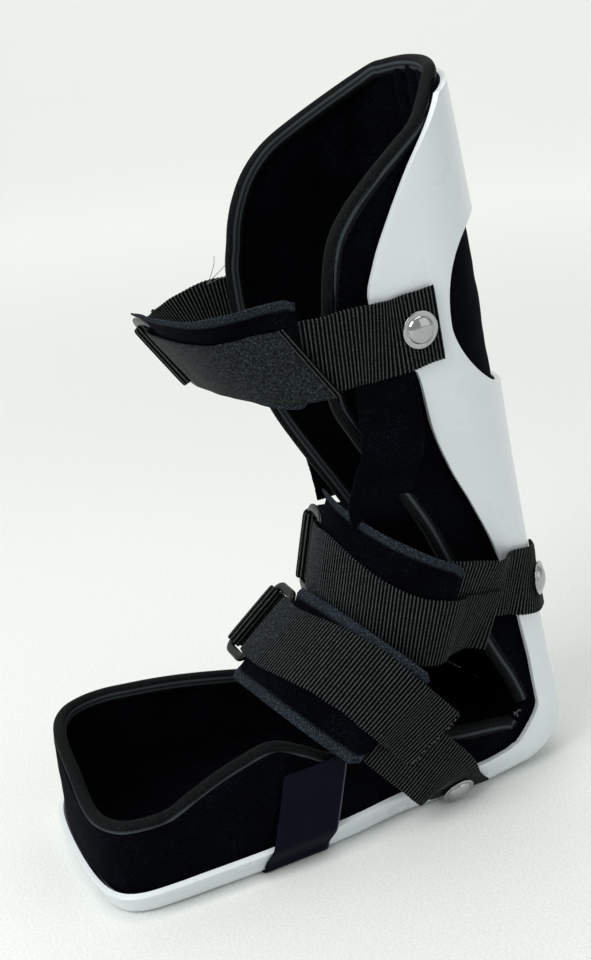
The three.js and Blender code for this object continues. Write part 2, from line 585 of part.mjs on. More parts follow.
// Tape under the forefoot: flat in a groove of the sole, round the corner and the rim, then up the foot wall
const tapeFoot = -36; // its middle on the sole, along Y
const grooveDeep = webbingThick + 2 * gap - 0.2;
const tapeOff = gap + webbingThick / 2;
const tapeTops = { near: [1, -14, 51], far: [-1, 0, 52] }; // side, its middle along Y there and its height
function tapeOutline(y, side, height) {
  const station = stationAt((y - heelReach) / (heelReach - fanY), side);
  const floor = station.half - footCorner;
  const low = grooveDeep - tapeOff;
  const rim = station.half + station.flare * (flangeRise - footCorner) + 1.2 * tapeOff;
  const wall = rim - 1.2 * tapeOff - linerOuter + 1.4 * tapeOff;
  const rows = [[0, low], [0.6 * floor, low], [floor, low]];
  [46, 62, 78, 90].forEach((degrees) => {
    const reach = footCorner + tapeOff;
    const z = footCorner - reach * Math.cos(rad(degrees));
    rows.push([floor + reach * Math.sin(rad(degrees)), Math.max(z, low)]);
  });
  rows.push([rim, flangeRise], [rim + 0.2, 1.2 * flangeRise], [wall + 0.6, 0.6 * height], [wall, height]);
  return rows.map(([x, z]) => new THREE.Vector3(side * x, y, z));
}
function tapeSide([side, topY, height]) {
  const edges = [-1, 1].map((edge) => {
    const rise = (z) => (topY - tapeFoot) * THREE.MathUtils.smoothstep(z, 0, height);
    const straight = tapeOutline(tapeFoot, side, height);
    return straight.map((p, k) => {
      const y = tapeFoot + rise(p.z) + (edge * tapeWidth) / 2;
      return tapeOutline(y, side, height)[k];
    });
  });
  return edges[0].map((p, k) => ({
    point: p.clone().lerp(edges[1][k], 0.5),
    across: edges[1][k].clone().sub(p),
  }));
}
const tapeStations = [...tapeSide(tapeTops.far).reverse(), ...tapeSide(tapeTops.near).slice(1)];
add('forefoot_tape', ribbon(tapeStations, tapeWidth, webbingThick), tape);
const groove = new THREE.BoxGeometry(4 * ballHalf, tapeWidth + 4, 2 * grooveDeep);
shellCutters.push(solidOf(groove.translate(0, tapeFoot + 1, 0)));

// Side bands: velour strips sewn inside the calf strap that hang to behind the ankle pad. Below the strap the
// rows give each one's middle line, and how far its rear edge stands out from its front edge.
const bandHang = { near: 0.102, far: 0.896 }; // place along the calf strap
const bandRows = {
  near: [
    [56.5, 35, 216, 0.04], [52.0, 32, 198, 0.12], [45.0, 33, 182, 0.24], [39.0, 36, 170, 0.34], [37.0, 37, 164, 0.38],
  ],
  far: [
    [-58.3, 43, 230, 0], [-57.5, 45, 216, 0], [-54.5, 48, 198, 0], [-51.0, 50, 182, 0], [-48.5, 52, 167, 0], [-47.5, 53, 157, 0],
  ],
};
Object.entries(bandRows).forEach(([name, rows]) => {
  const sewn = [-0.512, -0.6].map((share) => {
    const inside = -(webbingThick + bandThick) / 2;
    const { point, along } = built.calf.frame(bandHang[name], inside, share * webbingWidth);
    return { point, across: along.multiplyScalar(Math.sign(along.y)) };
  });
  const free = rows.map(([x, y, z, swing]) => ({
    point: new THREE.Vector3(x, y, z),
    across: new THREE.Vector3(swing, 1, 0.1),
  }));
  add(`side_band_${name}`, ribbon([...sewn, ...free], bandWidth, bandThick), velour);
});

// Shell and liner
let shell = solidOf(trough(shellStations, 0, shellWall, 'shell', true));
shellCutters.forEach((cutter) => {
  shell = shell.subtract(cutter);
});
add('shell', geometryOf(shell), plastic);
add('liner_calf', trough(calfStations, linerOuter, linerInner, 'liner', false), velour);
add('liner_foot', trough(footStations, linerOuter, linerInner, 'liner', true), velour);

// Beads along the liner's edges. An edge is a list of pairs on the outer and inner faces, and the bead's
// middle line lies off it by its radius and the gap, square to the edge and level with the wall
function edgePairs(stations) {
  return stations.map((station) => {
    const ends = [linerOuter, linerInner].map((inset) => {
      const points = sectionPoints(station, edgeDepth(station, 'liner'), inset);
      return points[points.length - 1];
    });
    return { ends, away: station.up };
  });
}
function topPairs() {
  const station = stationAt(linerTop, 1);
  const [outer, inner] = [linerOuter, linerInner].map((inset) => (
    sectionPoints(station, edgeDepth(station, 'liner'), inset).slice(0, cornerSteps + 2)
  ));
  const near = outer.map((p, k) => ({ ends: [p, inner[k]], away: station.tangent }));
  const mirror = (p) => new THREE.Vector3(-p.x, p.y, p.z);
  const far = near.map(({ ends, away }) => ({ ends: ends.map(mirror), away }));
  return [...near.slice(1).reverse(), ...far];
}
function beadLine(pairs) {
  const middles = pairs.map(({ ends }) => ends[0].clone().lerp(ends[1], 0.5));
  return middles.map((p, k) => {
    const along = middles[Math.min(k + 1, middles.length - 1)].clone().sub(middles[Math.max(k - 1, 0)]).normalize();
    const through = pairs[k].ends[0].clone().sub(pairs[k].ends[1]).normalize();
    const off = along.cross(through).normalize();
    if (off.dot(pairs[k].away) < 0) off.negate();
    return p.clone().addScaledVector(off, beadRadius + beadRoom);
  });
}
function bead(points, steps) {
  const curve = new THREE.CatmullRomCurve3(points, false, 'centripetal');
  const section = new THREE.Shape(spaced(0, 300, 5).map((degrees) => (
    new THREE.Vector2(beadRadius * Math.cos(rad(degrees)), beadRadius * Math.sin(rad(degrees)))
  )));
  const geometry = new THREE.ExtrudeGeometry(section, { steps, extrudePath: curve, bevelEnabled: false });
  return closedGeometry(trianglesOf(geometry));
}
const calfSides = [1, -1].map((side) => edgePairs(calfStations(side).slice(1, -2)));
const calfLine = beadLine([...calfSides[0].reverse(), ...topPairs(), ...calfSides[1]]);
add('calf_binding', bead(calfLine, 80), trim);
const footSides = [1, -1].map((side) => edgePairs(footStations(side).slice(1)));
const footLine = beadLine([...footSides[0], ...footSides[1].slice(0, -1).reverse()]);
add('foot_binding', bead(footLine, 60), trim);

export default splint;
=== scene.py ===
# Looks of the night splint: each piece is modelled round its CAD solid, in metres, in the CAD frame.
import math

import bmesh
import bpy
import numpy as np
from mathutils import Matrix, Vector, noise


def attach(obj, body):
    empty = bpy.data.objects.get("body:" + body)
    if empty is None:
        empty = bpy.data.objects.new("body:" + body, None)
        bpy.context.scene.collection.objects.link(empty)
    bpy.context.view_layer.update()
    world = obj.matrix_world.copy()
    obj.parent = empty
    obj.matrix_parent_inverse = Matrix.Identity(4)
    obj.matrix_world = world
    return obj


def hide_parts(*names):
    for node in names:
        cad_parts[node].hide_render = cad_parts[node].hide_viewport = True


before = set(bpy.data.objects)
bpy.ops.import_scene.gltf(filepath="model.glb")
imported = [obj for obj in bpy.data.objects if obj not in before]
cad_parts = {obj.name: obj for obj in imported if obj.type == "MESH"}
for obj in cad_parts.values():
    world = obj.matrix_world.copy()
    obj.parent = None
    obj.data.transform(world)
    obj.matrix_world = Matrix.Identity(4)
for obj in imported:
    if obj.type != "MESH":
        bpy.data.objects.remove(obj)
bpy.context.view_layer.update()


# Camera: it stands at the photograph's place, in front of the near side and a little above it, and is
# rolled a few degrees. The eye is in metres.
EYE = Vector((0.6392, -0.2532, 0.4352))
AZIMUTH, ELEVATION, ROLL = math.radians(68.03), math.radians(19.68), math.radians(5.20)
FOCAL_PIXELS, LONG_SIDE_PIXELS, SENSOR = 1398.5, 960, 36.0
back = Vector((math.sin(AZIMUTH) * math.cos(ELEVATION), -math.cos(AZIMUTH) * math.cos(ELEVATION),
               math.sin(ELEVATION)))
level = Vector((math.cos(AZIMUTH), math.sin(AZIMUTH), 0))
upright = back.cross(level)
right = level * math.cos(ROLL) - upright * math.sin(ROLL)
up = level * math.sin(ROLL) + upright * math.cos(ROLL)
lens = bpy.data.cameras.new("camera")
lens.sensor_width = SENSOR
lens.lens = SENSOR * FOCAL_PIXELS / LONG_SIDE_PIXELS
camera = bpy.data.objects.new("camera", lens)
camera.matrix_world = Matrix((right, up, back)).transposed().to_4x4()
camera.location = EYE
bpy.context.scene.collection.objects.link(camera)
bpy.context.scene.camera = camera


# Shell: one polypropylene sheet, heated and drawn over a form, so its wall is even and its edges are
# trimmed and buffed round. It is one trough from the toe plate round the heel to the calf, with an
# opening in the back. Lengths are in millimetres, here and below.
MM = 0.001
TOE_REACH, TOE_CAP, HEEL_REACH, HEEL_BEND = 137, 37, 118, 30
CALF_LEAN, CALF_RUN = 8.1, 358
BALL_HALF, ARCH_HALF, NECK_HALF, CALF_HALF, CALF_ROUND = 58, 45, 38, 58, 50
FOOT_CORNER, FLANGE_RISE, FLANGE_FLARE, WING_REACH = 6, 16, 0.6, 83
TOP_ARCH, TOP_LEAN, SHELL_WALL = 10, 2.5, 3
BEND_TURN = math.pi / 2 + math.radians(CALF_LEAN)
FAN_Y = TOE_CAP - TOE_REACH

# Place along the spine (-1 toe, 0 to 1 heel bend, 2 top), the share of the heel's turn that the section
# has taken, half its width, the share of that in its rounded side, the side's height, flare and lean
SHAPE_ROWS = [
    (-1.00, 0.00, BALL_HALF, FOOT_CORNER / BALL_HALF, FOOT_CORNER, FLANGE_FLARE, 0),
    (-0.80, 0.00, 0.97 * BALL_HALF, FOOT_CORNER / BALL_HALF, FOOT_CORNER, FLANGE_FLARE, 0),
    (-0.57, 0.00, 0.90 * BALL_HALF, FOOT_CORNER / BALL_HALF, FOOT_CORNER, FLANGE_FLARE, 0),
    (-0.35, 0.00, ARCH_HALF, FOOT_CORNER / ARCH_HALF, FOOT_CORNER, FLANGE_FLARE, 0),
    (-0.17, 0.03, ARCH_HALF, 0.20, 1.5 * FOOT_CORNER, 0.8 * FLANGE_FLARE, 0),
    (-0.06, 0.15, 0.96 * ARCH_HALF, 0.30, 2.0 * FOOT_CORNER, 0.6 * FLANGE_FLARE, 0),
    (0.00, 0.25, 1.12 * NECK_HALF, 0.40, 0.30 * CALF_ROUND, 0.4 * FLANGE_FLARE, 0),
    (0.50, 0.50, 1.08 * NECK_HALF, 0.60, 0.40 * CALF_ROUND, 0, 0),
    (1.00, 0.72, 1.05 * NECK_HALF, 0.75, 0.46 * CALF_ROUND, 0, 0),
    (1.08, 0.86, 1.02 * NECK_HALF, 0.78, 0.48 * CALF_ROUND, 0, 0),
    (1.18, 1.00, NECK_HALF, 0.80, 0.50 * CALF_ROUND, 0, 0),
    (1.27, 1.00, 1.03 * NECK_HALF, 0.82, 0.55 * CALF_ROUND, 0, 0),
    (1.36, 1.00, 0.73 * CALF_HALF, 0.86, 0.66 * CALF_ROUND, 0, 0),
    (1.45, 1.00, 0.81 * CALF_HALF, 0.90, 0.80 * CALF_ROUND, 0, 0),
    (1.55, 1.00, 0.91 * CALF_HALF, 0.92, 0.93 * CALF_ROUND, 0, 0),
    (1.65, 1.00, 0.975 * CALF_HALF, 0.93, CALF_ROUND, 0, 0),
    (1.75, 1.00, CALF_HALF, 0.93, CALF_ROUND, 0, 0.1 * TOP_LEAN),
    (1.90, 1.00, CALF_HALF, 0.93, CALF_ROUND, 0, 0.6 * TOP_LEAN),
    (2.03, 1.00, 0.97 * CALF_HALF, 0.93, CALF_ROUND, 0, TOP_LEAN),
]
# Place along the spine, then the depth of the edge there
SHELL_EDGE = [
    (-1.00, 0.90 * FLANGE_RISE), (-0.57, FLANGE_RISE), (-0.17, 1.1 * FLANGE_RISE),
    (-0.06, 1.2 * FLANGE_RISE), (0.00, 1.4 * FLANGE_RISE), (0.50, 0.36 * WING_REACH),
    (1.00, 0.315 * WING_REACH), (1.10, 0.28 * WING_REACH), (1.22, 0.31 * WING_REACH),
    (1.31, 0.39 * WING_REACH),
    (1.40, 0.52 * WING_REACH), (1.47, 0.64 * WING_REACH), (1.55, 0.74 * WING_REACH),
    (1.63, 0.78 * WING_REACH), (1.67, 0.89 * WING_REACH), (1.71, 0.98 * WING_REACH),
    (1.755, WING_REACH), (1.80, 0.92 * WING_REACH), (1.85, 0.78 * WING_REACH),
    (1.90, 0.62 * WING_REACH), (1.94, 0.48 * WING_REACH), (1.975, 0.35 * WING_REACH),
    (2.00, 0.25 * WING_REACH),
]
# Angle from straight sideways to straight forward, then the rim's height there
SHELL_TOE = [(0, 0.90 * FLANGE_RISE), (45, 0.80 * FLANGE_RISE), (90, 0.80 * FLANGE_RISE)]
EDGES = {"shell": (SHELL_EDGE, SHELL_TOE)}
TOE_SQUARE = {"shell": 4, "liner": 3}


def table_value(rows, column, at):
    """Smooth value of one column at a place between the rows, without overshoot."""
    last = len(rows) - 1
    place = min(max(at, rows[0][0]), rows[last][0])
    k = 0
    while k < last - 1 and place > rows[k + 1][0]:
        k += 1

    def slope(n):
        return (rows[n + 1][column] - rows[n][column]) / (rows[n + 1][0] - rows[n][0])

    def tangent(n):
        if n == 0:
            return slope(0)
        if n == last:
            return slope(last - 1)
        before, after = slope(n - 1), slope(n)
        return 0 if before * after <= 0 else 2 * before * after / (before + after)

    span = rows[k + 1][0] - rows[k][0]
    t = (place - rows[k][0]) / span
    rise = t * t * (3 - 2 * t)
    value = rows[k][column] * (1 - rise) + rows[k + 1][column] * rise
    return value + span * (t * (1 - t) ** 2 * tangent(k) - t * t * (1 - t) * tangent(k + 1))


def smoothstep(value, low, high):
    t = min(max((value - low) / (high - low), 0), 1)
    return t * t * (3 - 2 * t)


def station_at(at, side):
    """Place and section of the trough at a place along its spine: -1 toe, 0 to 1 heel bend, 2 top."""
    turn, half, rounding, curve, flare, lean = (table_value(SHAPE_ROWS, n, at) for n in range(1, 7))
    bend = min(max(at, 0), 1) * BEND_TURN
    point = Vector((0, HEEL_REACH + HEEL_BEND * math.sin(bend), HEEL_BEND * (1 - math.cos(bend))))
    if at < 0:
        point.y += at * (HEEL_REACH - FAN_Y)
    tangent = Vector((0, math.cos(bend), math.sin(bend)))
    if at > 1:
        point += tangent * (at - 1) * CALF_RUN
    rise = Vector((0, -math.sin(turn * BEND_TURN), math.cos(turn * BEND_TURN)))
    return dict(at=at, side=side, half=half, round=rounding, curve=curve, flare=flare, tangent=tangent,
                point=point + rise * lean, up=rise, out=Vector((side, 0, 0)), degrees=None,
                arch=TOP_ARCH * smoothstep(at, 1.9, 2.03))


def toe_station_at(degrees, side, square):
    """The same for the rounded toe, whose plan is a squared circle."""
    angle = math.radians(degrees)
    plan = (math.cos(angle) / BALL_HALF) ** square + (math.sin(angle) / TOE_CAP) ** square
    plan **= -1 / square
    toe = station_at(-1, side)
    toe.update(degrees=degrees, half=plan, round=FOOT_CORNER / plan,
               out=Vector((side * math.cos(angle), -math.sin(angle), 0)))
    return toe


def edge_depth(place, piece):
    """Depth of the edge. Its rows have one column for both sides, or the near and then the far side's."""
    at_toe = place["degrees"] is not None
    rows = EDGES[piece][at_toe]
    column = 1 if place["side"] > 0 else len(rows[0]) - 1
    return table_value(rows, column, place["degrees"] if at_toe else place["at"])


def spaced(start, end, steps):
    return [start + (end - start) * k / steps for k in range(steps + 1)]


def section_points(place, depth, inset, count):
    """Evenly spaced points of half a section, from the spine to the edge, inset from the outer face."""
    across = max(place["round"] * place["half"] - inset, 1)
    curve = max(place["curve"] - inset, 1)
    half = place["half"] - inset
    end_turn = math.pi / 2
    if depth - inset < curve:
        end_turn = math.acos(max(1 - (depth - inset) / curve, -1))
    line = [(0, inset)]
    for turn in spaced(0, end_turn, 24):
        line.append((half - across + across * math.sin(turn), inset + curve * (1 - math.cos(turn))))
    base = inset + curve
    if depth > base:
        rim = min(depth, max(FLANGE_RISE, base))
        line.append((half + place["flare"] * max(rim - base, 0), rim))
        line.append((half + place["flare"] * max(rim - base, 0), depth))
    line = np.array(line, float)
    lengths = np.concatenate([[0], np.cumsum(np.hypot(*np.diff(line, axis=0).T))])
    places = np.linspace(0, lengths[-1], count + 1)
    widths, depths = np.interp(places, lengths, line[:, 0]), np.interp(places, lengths, line[:, 1])
    points = []
    for x, d in zip(widths, depths):
        sag = place["arch"] * (x / place["half"]) ** 2
        points.append(place["point"] + place["out"] * x + place["up"] * d - place["tangent"] * sag)
    return points


def piece_from(name, shape):
    """Makes a piece of a bmesh, and frees it."""
    mesh = bpy.data.meshes.new(name)
    shape.to_mesh(mesh)
    shape.free()
    piece = bpy.data.objects.new(name, mesh)
    bpy.context.scene.collection.objects.link(piece)
    return piece


def mapped_grid(name, columns, rows, place, uv=None):
    """A grid whose points are carried to place(column, row), in millimetres."""
    shape = bmesh.new()
    bmesh.ops.create_grid(shape, x_segments=columns, y_segments=rows, size=1)
    uv_layer = shape.loops.layers.uv.new("UVMap")
    column_layer = shape.verts.layers.int.new("column")
    row_layer = shape.verts.layers.int.new("row")
    spots = {v: (round((v.co.x + 1) / 2 * columns), round((v.co.y + 1) / 2 * rows)) for v in shape.verts}
    if uv:
        for face in shape.faces:
            for loop in face.loops:
                loop[uv_layer].uv = uv(*spots[loop.vert])
    for v, spot in spots.items():
        v.co = Vector(place(*spot)) * MM
        v[column_layer], v[row_layer] = spot
    bmesh.ops.remove_doubles(shape, verts=shape.verts, dist=0.02 * MM)
    return piece_from(name, shape)


def grid_place(piece, key):
    """The column or row that each vertex of a mapped grid came from."""
    values = np.zeros(len(piece.data.vertices), int)
    piece.data.attributes[key].data.foreach_get("value", values)
    return values


def mark_points(piece, name, values):
    """Stores one number a vertex."""
    layer = piece.data.attributes.new(name, "FLOAT", "POINT")
    layer.data.foreach_set("value", values)


def face_outward(piece, middle):
    """Turns a sheet's faces away from a point that lies in its hollow."""
    shape = bmesh.new()
    shape.from_mesh(piece.data)
    bmesh.ops.recalc_face_normals(shape, faces=shape.faces)
    score = sum(f.normal.dot(f.calc_center_median() - middle) * f.calc_area() for f in shape.faces)
    if score < 0:
        bmesh.ops.reverse_faces(shape, faces=shape.faces)
    shape.to_mesh(piece.data)
    shape.free()


def baked(piece):
    """Applies a piece's modifiers to its mesh."""
    graph = bpy.context.evaluated_depsgraph_get()
    mesh = bpy.data.meshes.new_from_object(piece.evaluated_get(graph))
    piece.modifiers.clear()
    piece.data = mesh


def smooth(piece):
    piece.data.polygons.foreach_set("use_smooth", [True] * len(piece.data.polygons))


def trough_place(spot, side, piece):
    if isinstance(spot, tuple):
        return toe_station_at(spot[1], side, TOE_SQUARE[piece])
    return station_at(spot, side)


def trough_sheet(name, stations, piece, inset, columns):
    """Half sections of both sides, from edge to edge, as one sheet."""
    lines = {}
    for side in (1, -1):
        places = [trough_place(s, side, piece) for s in stations]
        lines[side] = [section_points(p, edge_depth(p, piece), inset, columns) for p in places]

    def place(column, row):
        return lines[1 if column >= columns else -1][row][abs(column - columns)]

    def uv(column, row):
        return (column / columns, row / len(stations))

    return mapped_grid(name, 2 * columns, len(stations) - 1, place, uv)


def linear(hex_colour):
    """sRGB hex to the linear values that a shader takes."""
    parts = [int(hex_colour[k:k + 2], 16) / 255 for k in (1, 3, 5)]
    return (*[p / 12.92 if p <= 0.04045 else ((p + 0.055) / 1.055) ** 2.4 for p in parts], 1)


def set_inputs(material, node, inputs):
    """Fills a node's inputs: a socket is linked, and anything else is set on the input itself."""
    for key, value in inputs.items():
        if isinstance(value, bpy.types.NodeSocket):
            material.node_tree.links.new(value, node.inputs[key])
        else:
            node.inputs[key].default_value = value


def add_node(material, kind, settings=None, inputs=None, stops=None):
    """Adds one node with its settings, its inputs and, where it has them, its colour stops."""
    node = material.node_tree.nodes.new(kind)
    for key, value in (settings or {}).items():
        setattr(node, key, value)
    set_inputs(material, node, inputs or {})
    if stops:
        elements = node.color_ramp.elements
        elements[0].position, elements[0].color = stops[0][0], linear(stops[0][1])
        elements[1].position, elements[1].color = stops[-1][0], linear(stops[-1][1])
        for position, colour in stops[1:-1]:
            elements.new(position).color = linear(colour)
    return node


def new_material(name):
    material = bpy.data.materials.new(name)
    material.use_nodes = True
    return material, material.node_tree.nodes["Principled BSDF"]


# Drawn polypropylene: a pale grey with a clear gloss. Drawing leaves slow waves in it, about 70 mm long,
# and use leaves scuffs about 17 mm apart that dull the gloss in places. The tone drifts over 200 mm.
drawn_plastic, shader = new_material("drawn_polypropylene")
coords = add_node(drawn_plastic, "ShaderNodeTexCoord").outputs["Object"]
cloudy = add_node(drawn_plastic, "ShaderNodeTexNoise", inputs={
    "Vector": coords, "Scale": 0.005 / MM, "Detail": 1.0})
tone = add_node(drawn_plastic, "ShaderNodeValToRGB", inputs={"Fac": cloudy.outputs["Fac"]}, stops=[
    (0.3, "#d3d9db"), (0.7, "#d8dee0")])
scuffs = add_node(drawn_plastic, "ShaderNodeTexNoise", inputs={
    "Vector": coords, "Scale": 0.06 / MM, "Detail": 2.0})
rough = add_node(drawn_plastic, "ShaderNodeMapRange", inputs={
    "Value": scuffs.outputs["Fac"], "From Min": 0.3, "From Max": 0.75, "To Min": 0.27, "To Max": 0.33})
ripple = add_node(drawn_plastic, "ShaderNodeTexNoise", inputs={
    "Vector": coords, "Scale": 0.014 / MM, "Detail": 0.0})
bump = add_node(drawn_plastic, "ShaderNodeBump", inputs={
    "Height": ripple.outputs["Fac"], "Strength": 0.08, "Distance": 1.0 * MM})
set_inputs(drawn_plastic, shader, {
    "Base Color": tone.outputs["Color"], "Roughness": rough.outputs["Result"],
    "Normal": bump.outputs["Normal"], "IOR": 1.49, "Coat Weight": 0.25, "Coat Roughness": 0.12})

shell_places = spaced(2.0, 1.0, 96) + spaced(1.0, 0.0, 24)[1:] + spaced(0.0, -1.0, 44)[1:]
shell_places += [("toe", angle) for angle in spaced(0, 90, 30)[1:]]
HOLLOW = Vector((0, 20, 120)) * MM
shell = trough_sheet("shell_drawn", shell_places, "shell", 0, 30)
face_outward(shell, HOLLOW)
wall = shell.modifiers.new("wall", "SOLIDIFY")
wall.thickness = SHELL_WALL * MM
wall.offset = -1
wall.use_even_offset = True
baked(shell)


WINDOW_HALF, WINDOW_DEPTH, WINDOW_AT = 48, 43, 244
WINDOW_ABOVE, WINDOW_BELOW = 2.3, 1.55
CUT_REACH, GROOVE_LONG, GROOVE_RISE, GROOVE_Y = 90, 42, 3.8, -35


def window_outline(steps):
    """The opening's outline in the middle plane: an upright oval, squarer above and tapered below."""
    middle = station_at(1 + WINDOW_AT / CALF_RUN, 1)
    points = []
    for k in range(steps):
        angle = 2 * math.pi * k / steps
        c, s = math.cos(angle), math.sin(angle)
        square = WINDOW_ABOVE if s > 0 else WINDOW_BELOW
        reach = (abs(c) ** square + abs(s) ** square) ** (-1 / square)
        points.append(middle["point"] + middle["up"] * WINDOW_DEPTH * reach * c
                      + middle["tangent"] * WINDOW_HALF * reach * s)
    return points


def window_prism(shape):
    outline = window_outline(96)
    verts = [shape.verts.new(Vector((-CUT_REACH, p.y, p.z)) * MM) for p in outline]
    face = shape.faces.new(verts)
    moved = bmesh.ops.extrude_face_region(shape, geom=[face])["geom"]
    bmesh.ops.translate(shape, verts=[g for g in moved if isinstance(g, bmesh.types.BMVert)],
                        vec=(2 * CUT_REACH * MM, 0, 0))


def groove_block(shape):
    made = bmesh.ops.create_cube(shape, size=1)["verts"]
    bmesh.ops.scale(shape, verts=made, vec=Vector((2 * CUT_REACH, GROOVE_LONG, GROOVE_RISE)) * MM)
    bmesh.ops.translate(shape, verts=made, vec=Vector((0, GROOVE_Y, 0)) * MM)


for name, make in (("window", window_prism), ("groove", groove_block)):
    shape = bmesh.new()
    make(shape)
    bmesh.ops.recalc_face_normals(shape, faces=shape.faces)
    cutter = piece_from(name, shape)
    cut = shell.modifiers.new(name, "BOOLEAN")
    cut.operation = "DIFFERENCE"
    cut.solver = "EXACT"
    cut.object = cutter
    baked(shell)
    bpy.data.objects.remove(cutter)
EDGE_ROUND = 1.1
edges = shell.modifiers.new("buffed_edges", "BEVEL")
edges.width = EDGE_ROUND * MM
edges.segments = 3
edges.profile = 0.5
edges.limit_method = "ANGLE"
edges.angle_limit = math.radians(55)
edges.material = -1
baked(shell)
smooth(shell)
shell.data.materials.append(drawn_plastic)
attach(shell, "root")
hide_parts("shell")


# Liner: foam about 6 mm thick, faced on both sides with brushed loop velour and lying loose in the shell.
# It is cut in a calf half and a foot half that are tacked together low on each side, and long channels
# are sewn down the back of the calf half.
VELOUR_PILE = 0.9
# Brushed loop velour: nylon loops raised into a pile, so it is matt and near black with a cold bloom. The
# specks are one tuft wide, and patches about 26 mm wide lie brushed this way or that.
liner_velour, shader = new_material("brushed_loop_velour")
coords = add_node(liner_velour, "ShaderNodeTexCoord").outputs["Object"]
pile = add_node(liner_velour, "ShaderNodeTexNoise", inputs={
    "Vector": coords, "Scale": 1 / (VELOUR_PILE * MM), "Detail": 3.0, "Roughness": 0.7})
nap = add_node(liner_velour, "ShaderNodeTexNoise", inputs={
    "Vector": coords, "Scale": 0.038 / MM, "Detail": 3.0})
speck = add_node(liner_velour, "ShaderNodeValToRGB", inputs={"Fac": pile.outputs["Fac"]}, stops=[
    (0.40, "#020203"), (0.56, "#07090e"), (0.70, "#1e2433")])
shade = add_node(liner_velour, "ShaderNodeValToRGB", inputs={"Fac": nap.outputs["Fac"]}, stops=[
    (0.3, "#6f7480"), (0.7, "#d4d8e2")])
brushed = add_node(liner_velour, "ShaderNodeMix", settings={"data_type": "RGBA", "blend_type": "MULTIPLY"},
                   inputs={0: 1.0, 6: speck.outputs["Color"], 7: shade.outputs["Color"]})
bump = add_node(liner_velour, "ShaderNodeBump", inputs={
    "Height": pile.outputs["Fac"], "Strength": 0.6, "Distance": 0.6 * MM})
set_inputs(liner_velour, shader, {
    "Base Color": brushed.outputs[2], "Normal": bump.outputs["Normal"], "Roughness": 0.95,
    "Specular IOR Level": 0.03, "Sheen Weight": 0.012, "Sheen Roughness": 0.4,
    "Sheen Tint": linear("#8fa0cf")})

LINER_WALL, LINER_REACH, FOOT_WALL, LINER_ROOM = 6, 107, 72, 1.4
LINER_INSET = SHELL_WALL + LINER_ROOM
HEEL_SPLIT, LINER_TOP = 0.002, 2.01
# Place along the spine, or angle at the toe, then the rim's height: near side, far side
LINER_EDGE = [
    (-1.00, 0.70 * FOOT_WALL, 0.93 * FOOT_WALL), (-0.92, 0.81 * FOOT_WALL, 0.92 * FOOT_WALL),
    (-0.84, 0.90 * FOOT_WALL, 0.90 * FOOT_WALL), (-0.74, 0.96 * FOOT_WALL, 0.86 * FOOT_WALL),
    (-0.66, 0.84 * FOOT_WALL, 0.82 * FOOT_WALL), (-0.57, 0.68 * FOOT_WALL, 0.77 * FOOT_WALL),
    (-0.35, 0.58 * FOOT_WALL, 0.64 * FOOT_WALL), (-0.17, 0.50 * FOOT_WALL, 0.74 * FOOT_WALL),
    (0.00, 0.46 * FOOT_WALL, 0.76 * FOOT_WALL), (0.50, 0.36 * LINER_REACH, 0.56 * LINER_REACH),
    (1.00, 0.32 * LINER_REACH, 0.56 * LINER_REACH), (1.10, 0.37 * LINER_REACH, 0.58 * LINER_REACH),
    (1.23, 0.47 * LINER_REACH, 0.60 * LINER_REACH), (1.38, 0.62 * LINER_REACH, 0.75 * LINER_REACH),
    (1.46, 0.74 * LINER_REACH, 0.86 * LINER_REACH), (1.56, 0.91 * LINER_REACH, 0.98 * LINER_REACH),
    (1.64, LINER_REACH, 1.03 * LINER_REACH), (1.70, 0.98 * LINER_REACH, 1.04 * LINER_REACH),
    (1.77, 0.93 * LINER_REACH, 1.02 * LINER_REACH), (1.81, 0.89 * LINER_REACH, 0.98 * LINER_REACH),
    (1.85, 0.82 * LINER_REACH, 0.93 * LINER_REACH), (1.895, 0.64 * LINER_REACH, 0.83 * LINER_REACH),
    (1.93, 0.48 * LINER_REACH, 0.70 * LINER_REACH), (1.96, 0.34 * LINER_REACH, 0.52 * LINER_REACH),
    (1.985, 0.24 * LINER_REACH, 0.33 * LINER_REACH), (2.01, 0.17 * LINER_REACH, 0.17 * LINER_REACH),
]
LINER_TOE = [
    (0, 0.70 * FOOT_WALL, 0.93 * FOOT_WALL), (45, 0.64 * FOOT_WALL, 0.90 * FOOT_WALL),
    (90, 0.79 * FOOT_WALL, 0.79 * FOOT_WALL),
]
EDGES["liner"] = (LINER_EDGE, LINER_TOE)
# Sewn channels: where they lie across the back, how wide and deep, and the height where they start
CHANNEL_TURNS = (-0.62, -0.36, -0.12, 0.12, 0.36, 0.62)
CHANNEL_WIDE, CHANNEL_DEEP, CHANNEL_START = 0.035, 2.6, 215
SIDE_CHANNEL_FROM, SIDE_CHANNEL_DEEP, SIDE_CHANNEL_TURN = 240, 1.5, 3.4


def padded_trough(name, places, columns, ripple):
    """The liner's outer face, thickened inward, then puffed and puckered on both faces."""
    liner = trough_sheet(name, places, "liner", LINER_INSET, columns)
    face_outward(liner, HOLLOW)
    foam = liner.modifiers.new("foam", "SOLIDIFY")
    foam.thickness = LINER_WALL * MM
    foam.offset = -1
    baked(liner)
    shape = bmesh.new()
    shape.from_mesh(liner.data)
    bmesh.ops.recalc_face_normals(shape, faces=shape.faces)
    shape.normal_update()
    moves = {v: v.normal * ripple(v.co / MM, v.normal) * MM for v in shape.verts if not v.is_boundary}
    for v, move in moves.items():
        v.co += move
    shape.to_mesh(liner.data)
    shape.free()
    smooth(liner)
    liner.data.materials.append(liner_velour)
    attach(liner, "root")
    return liner


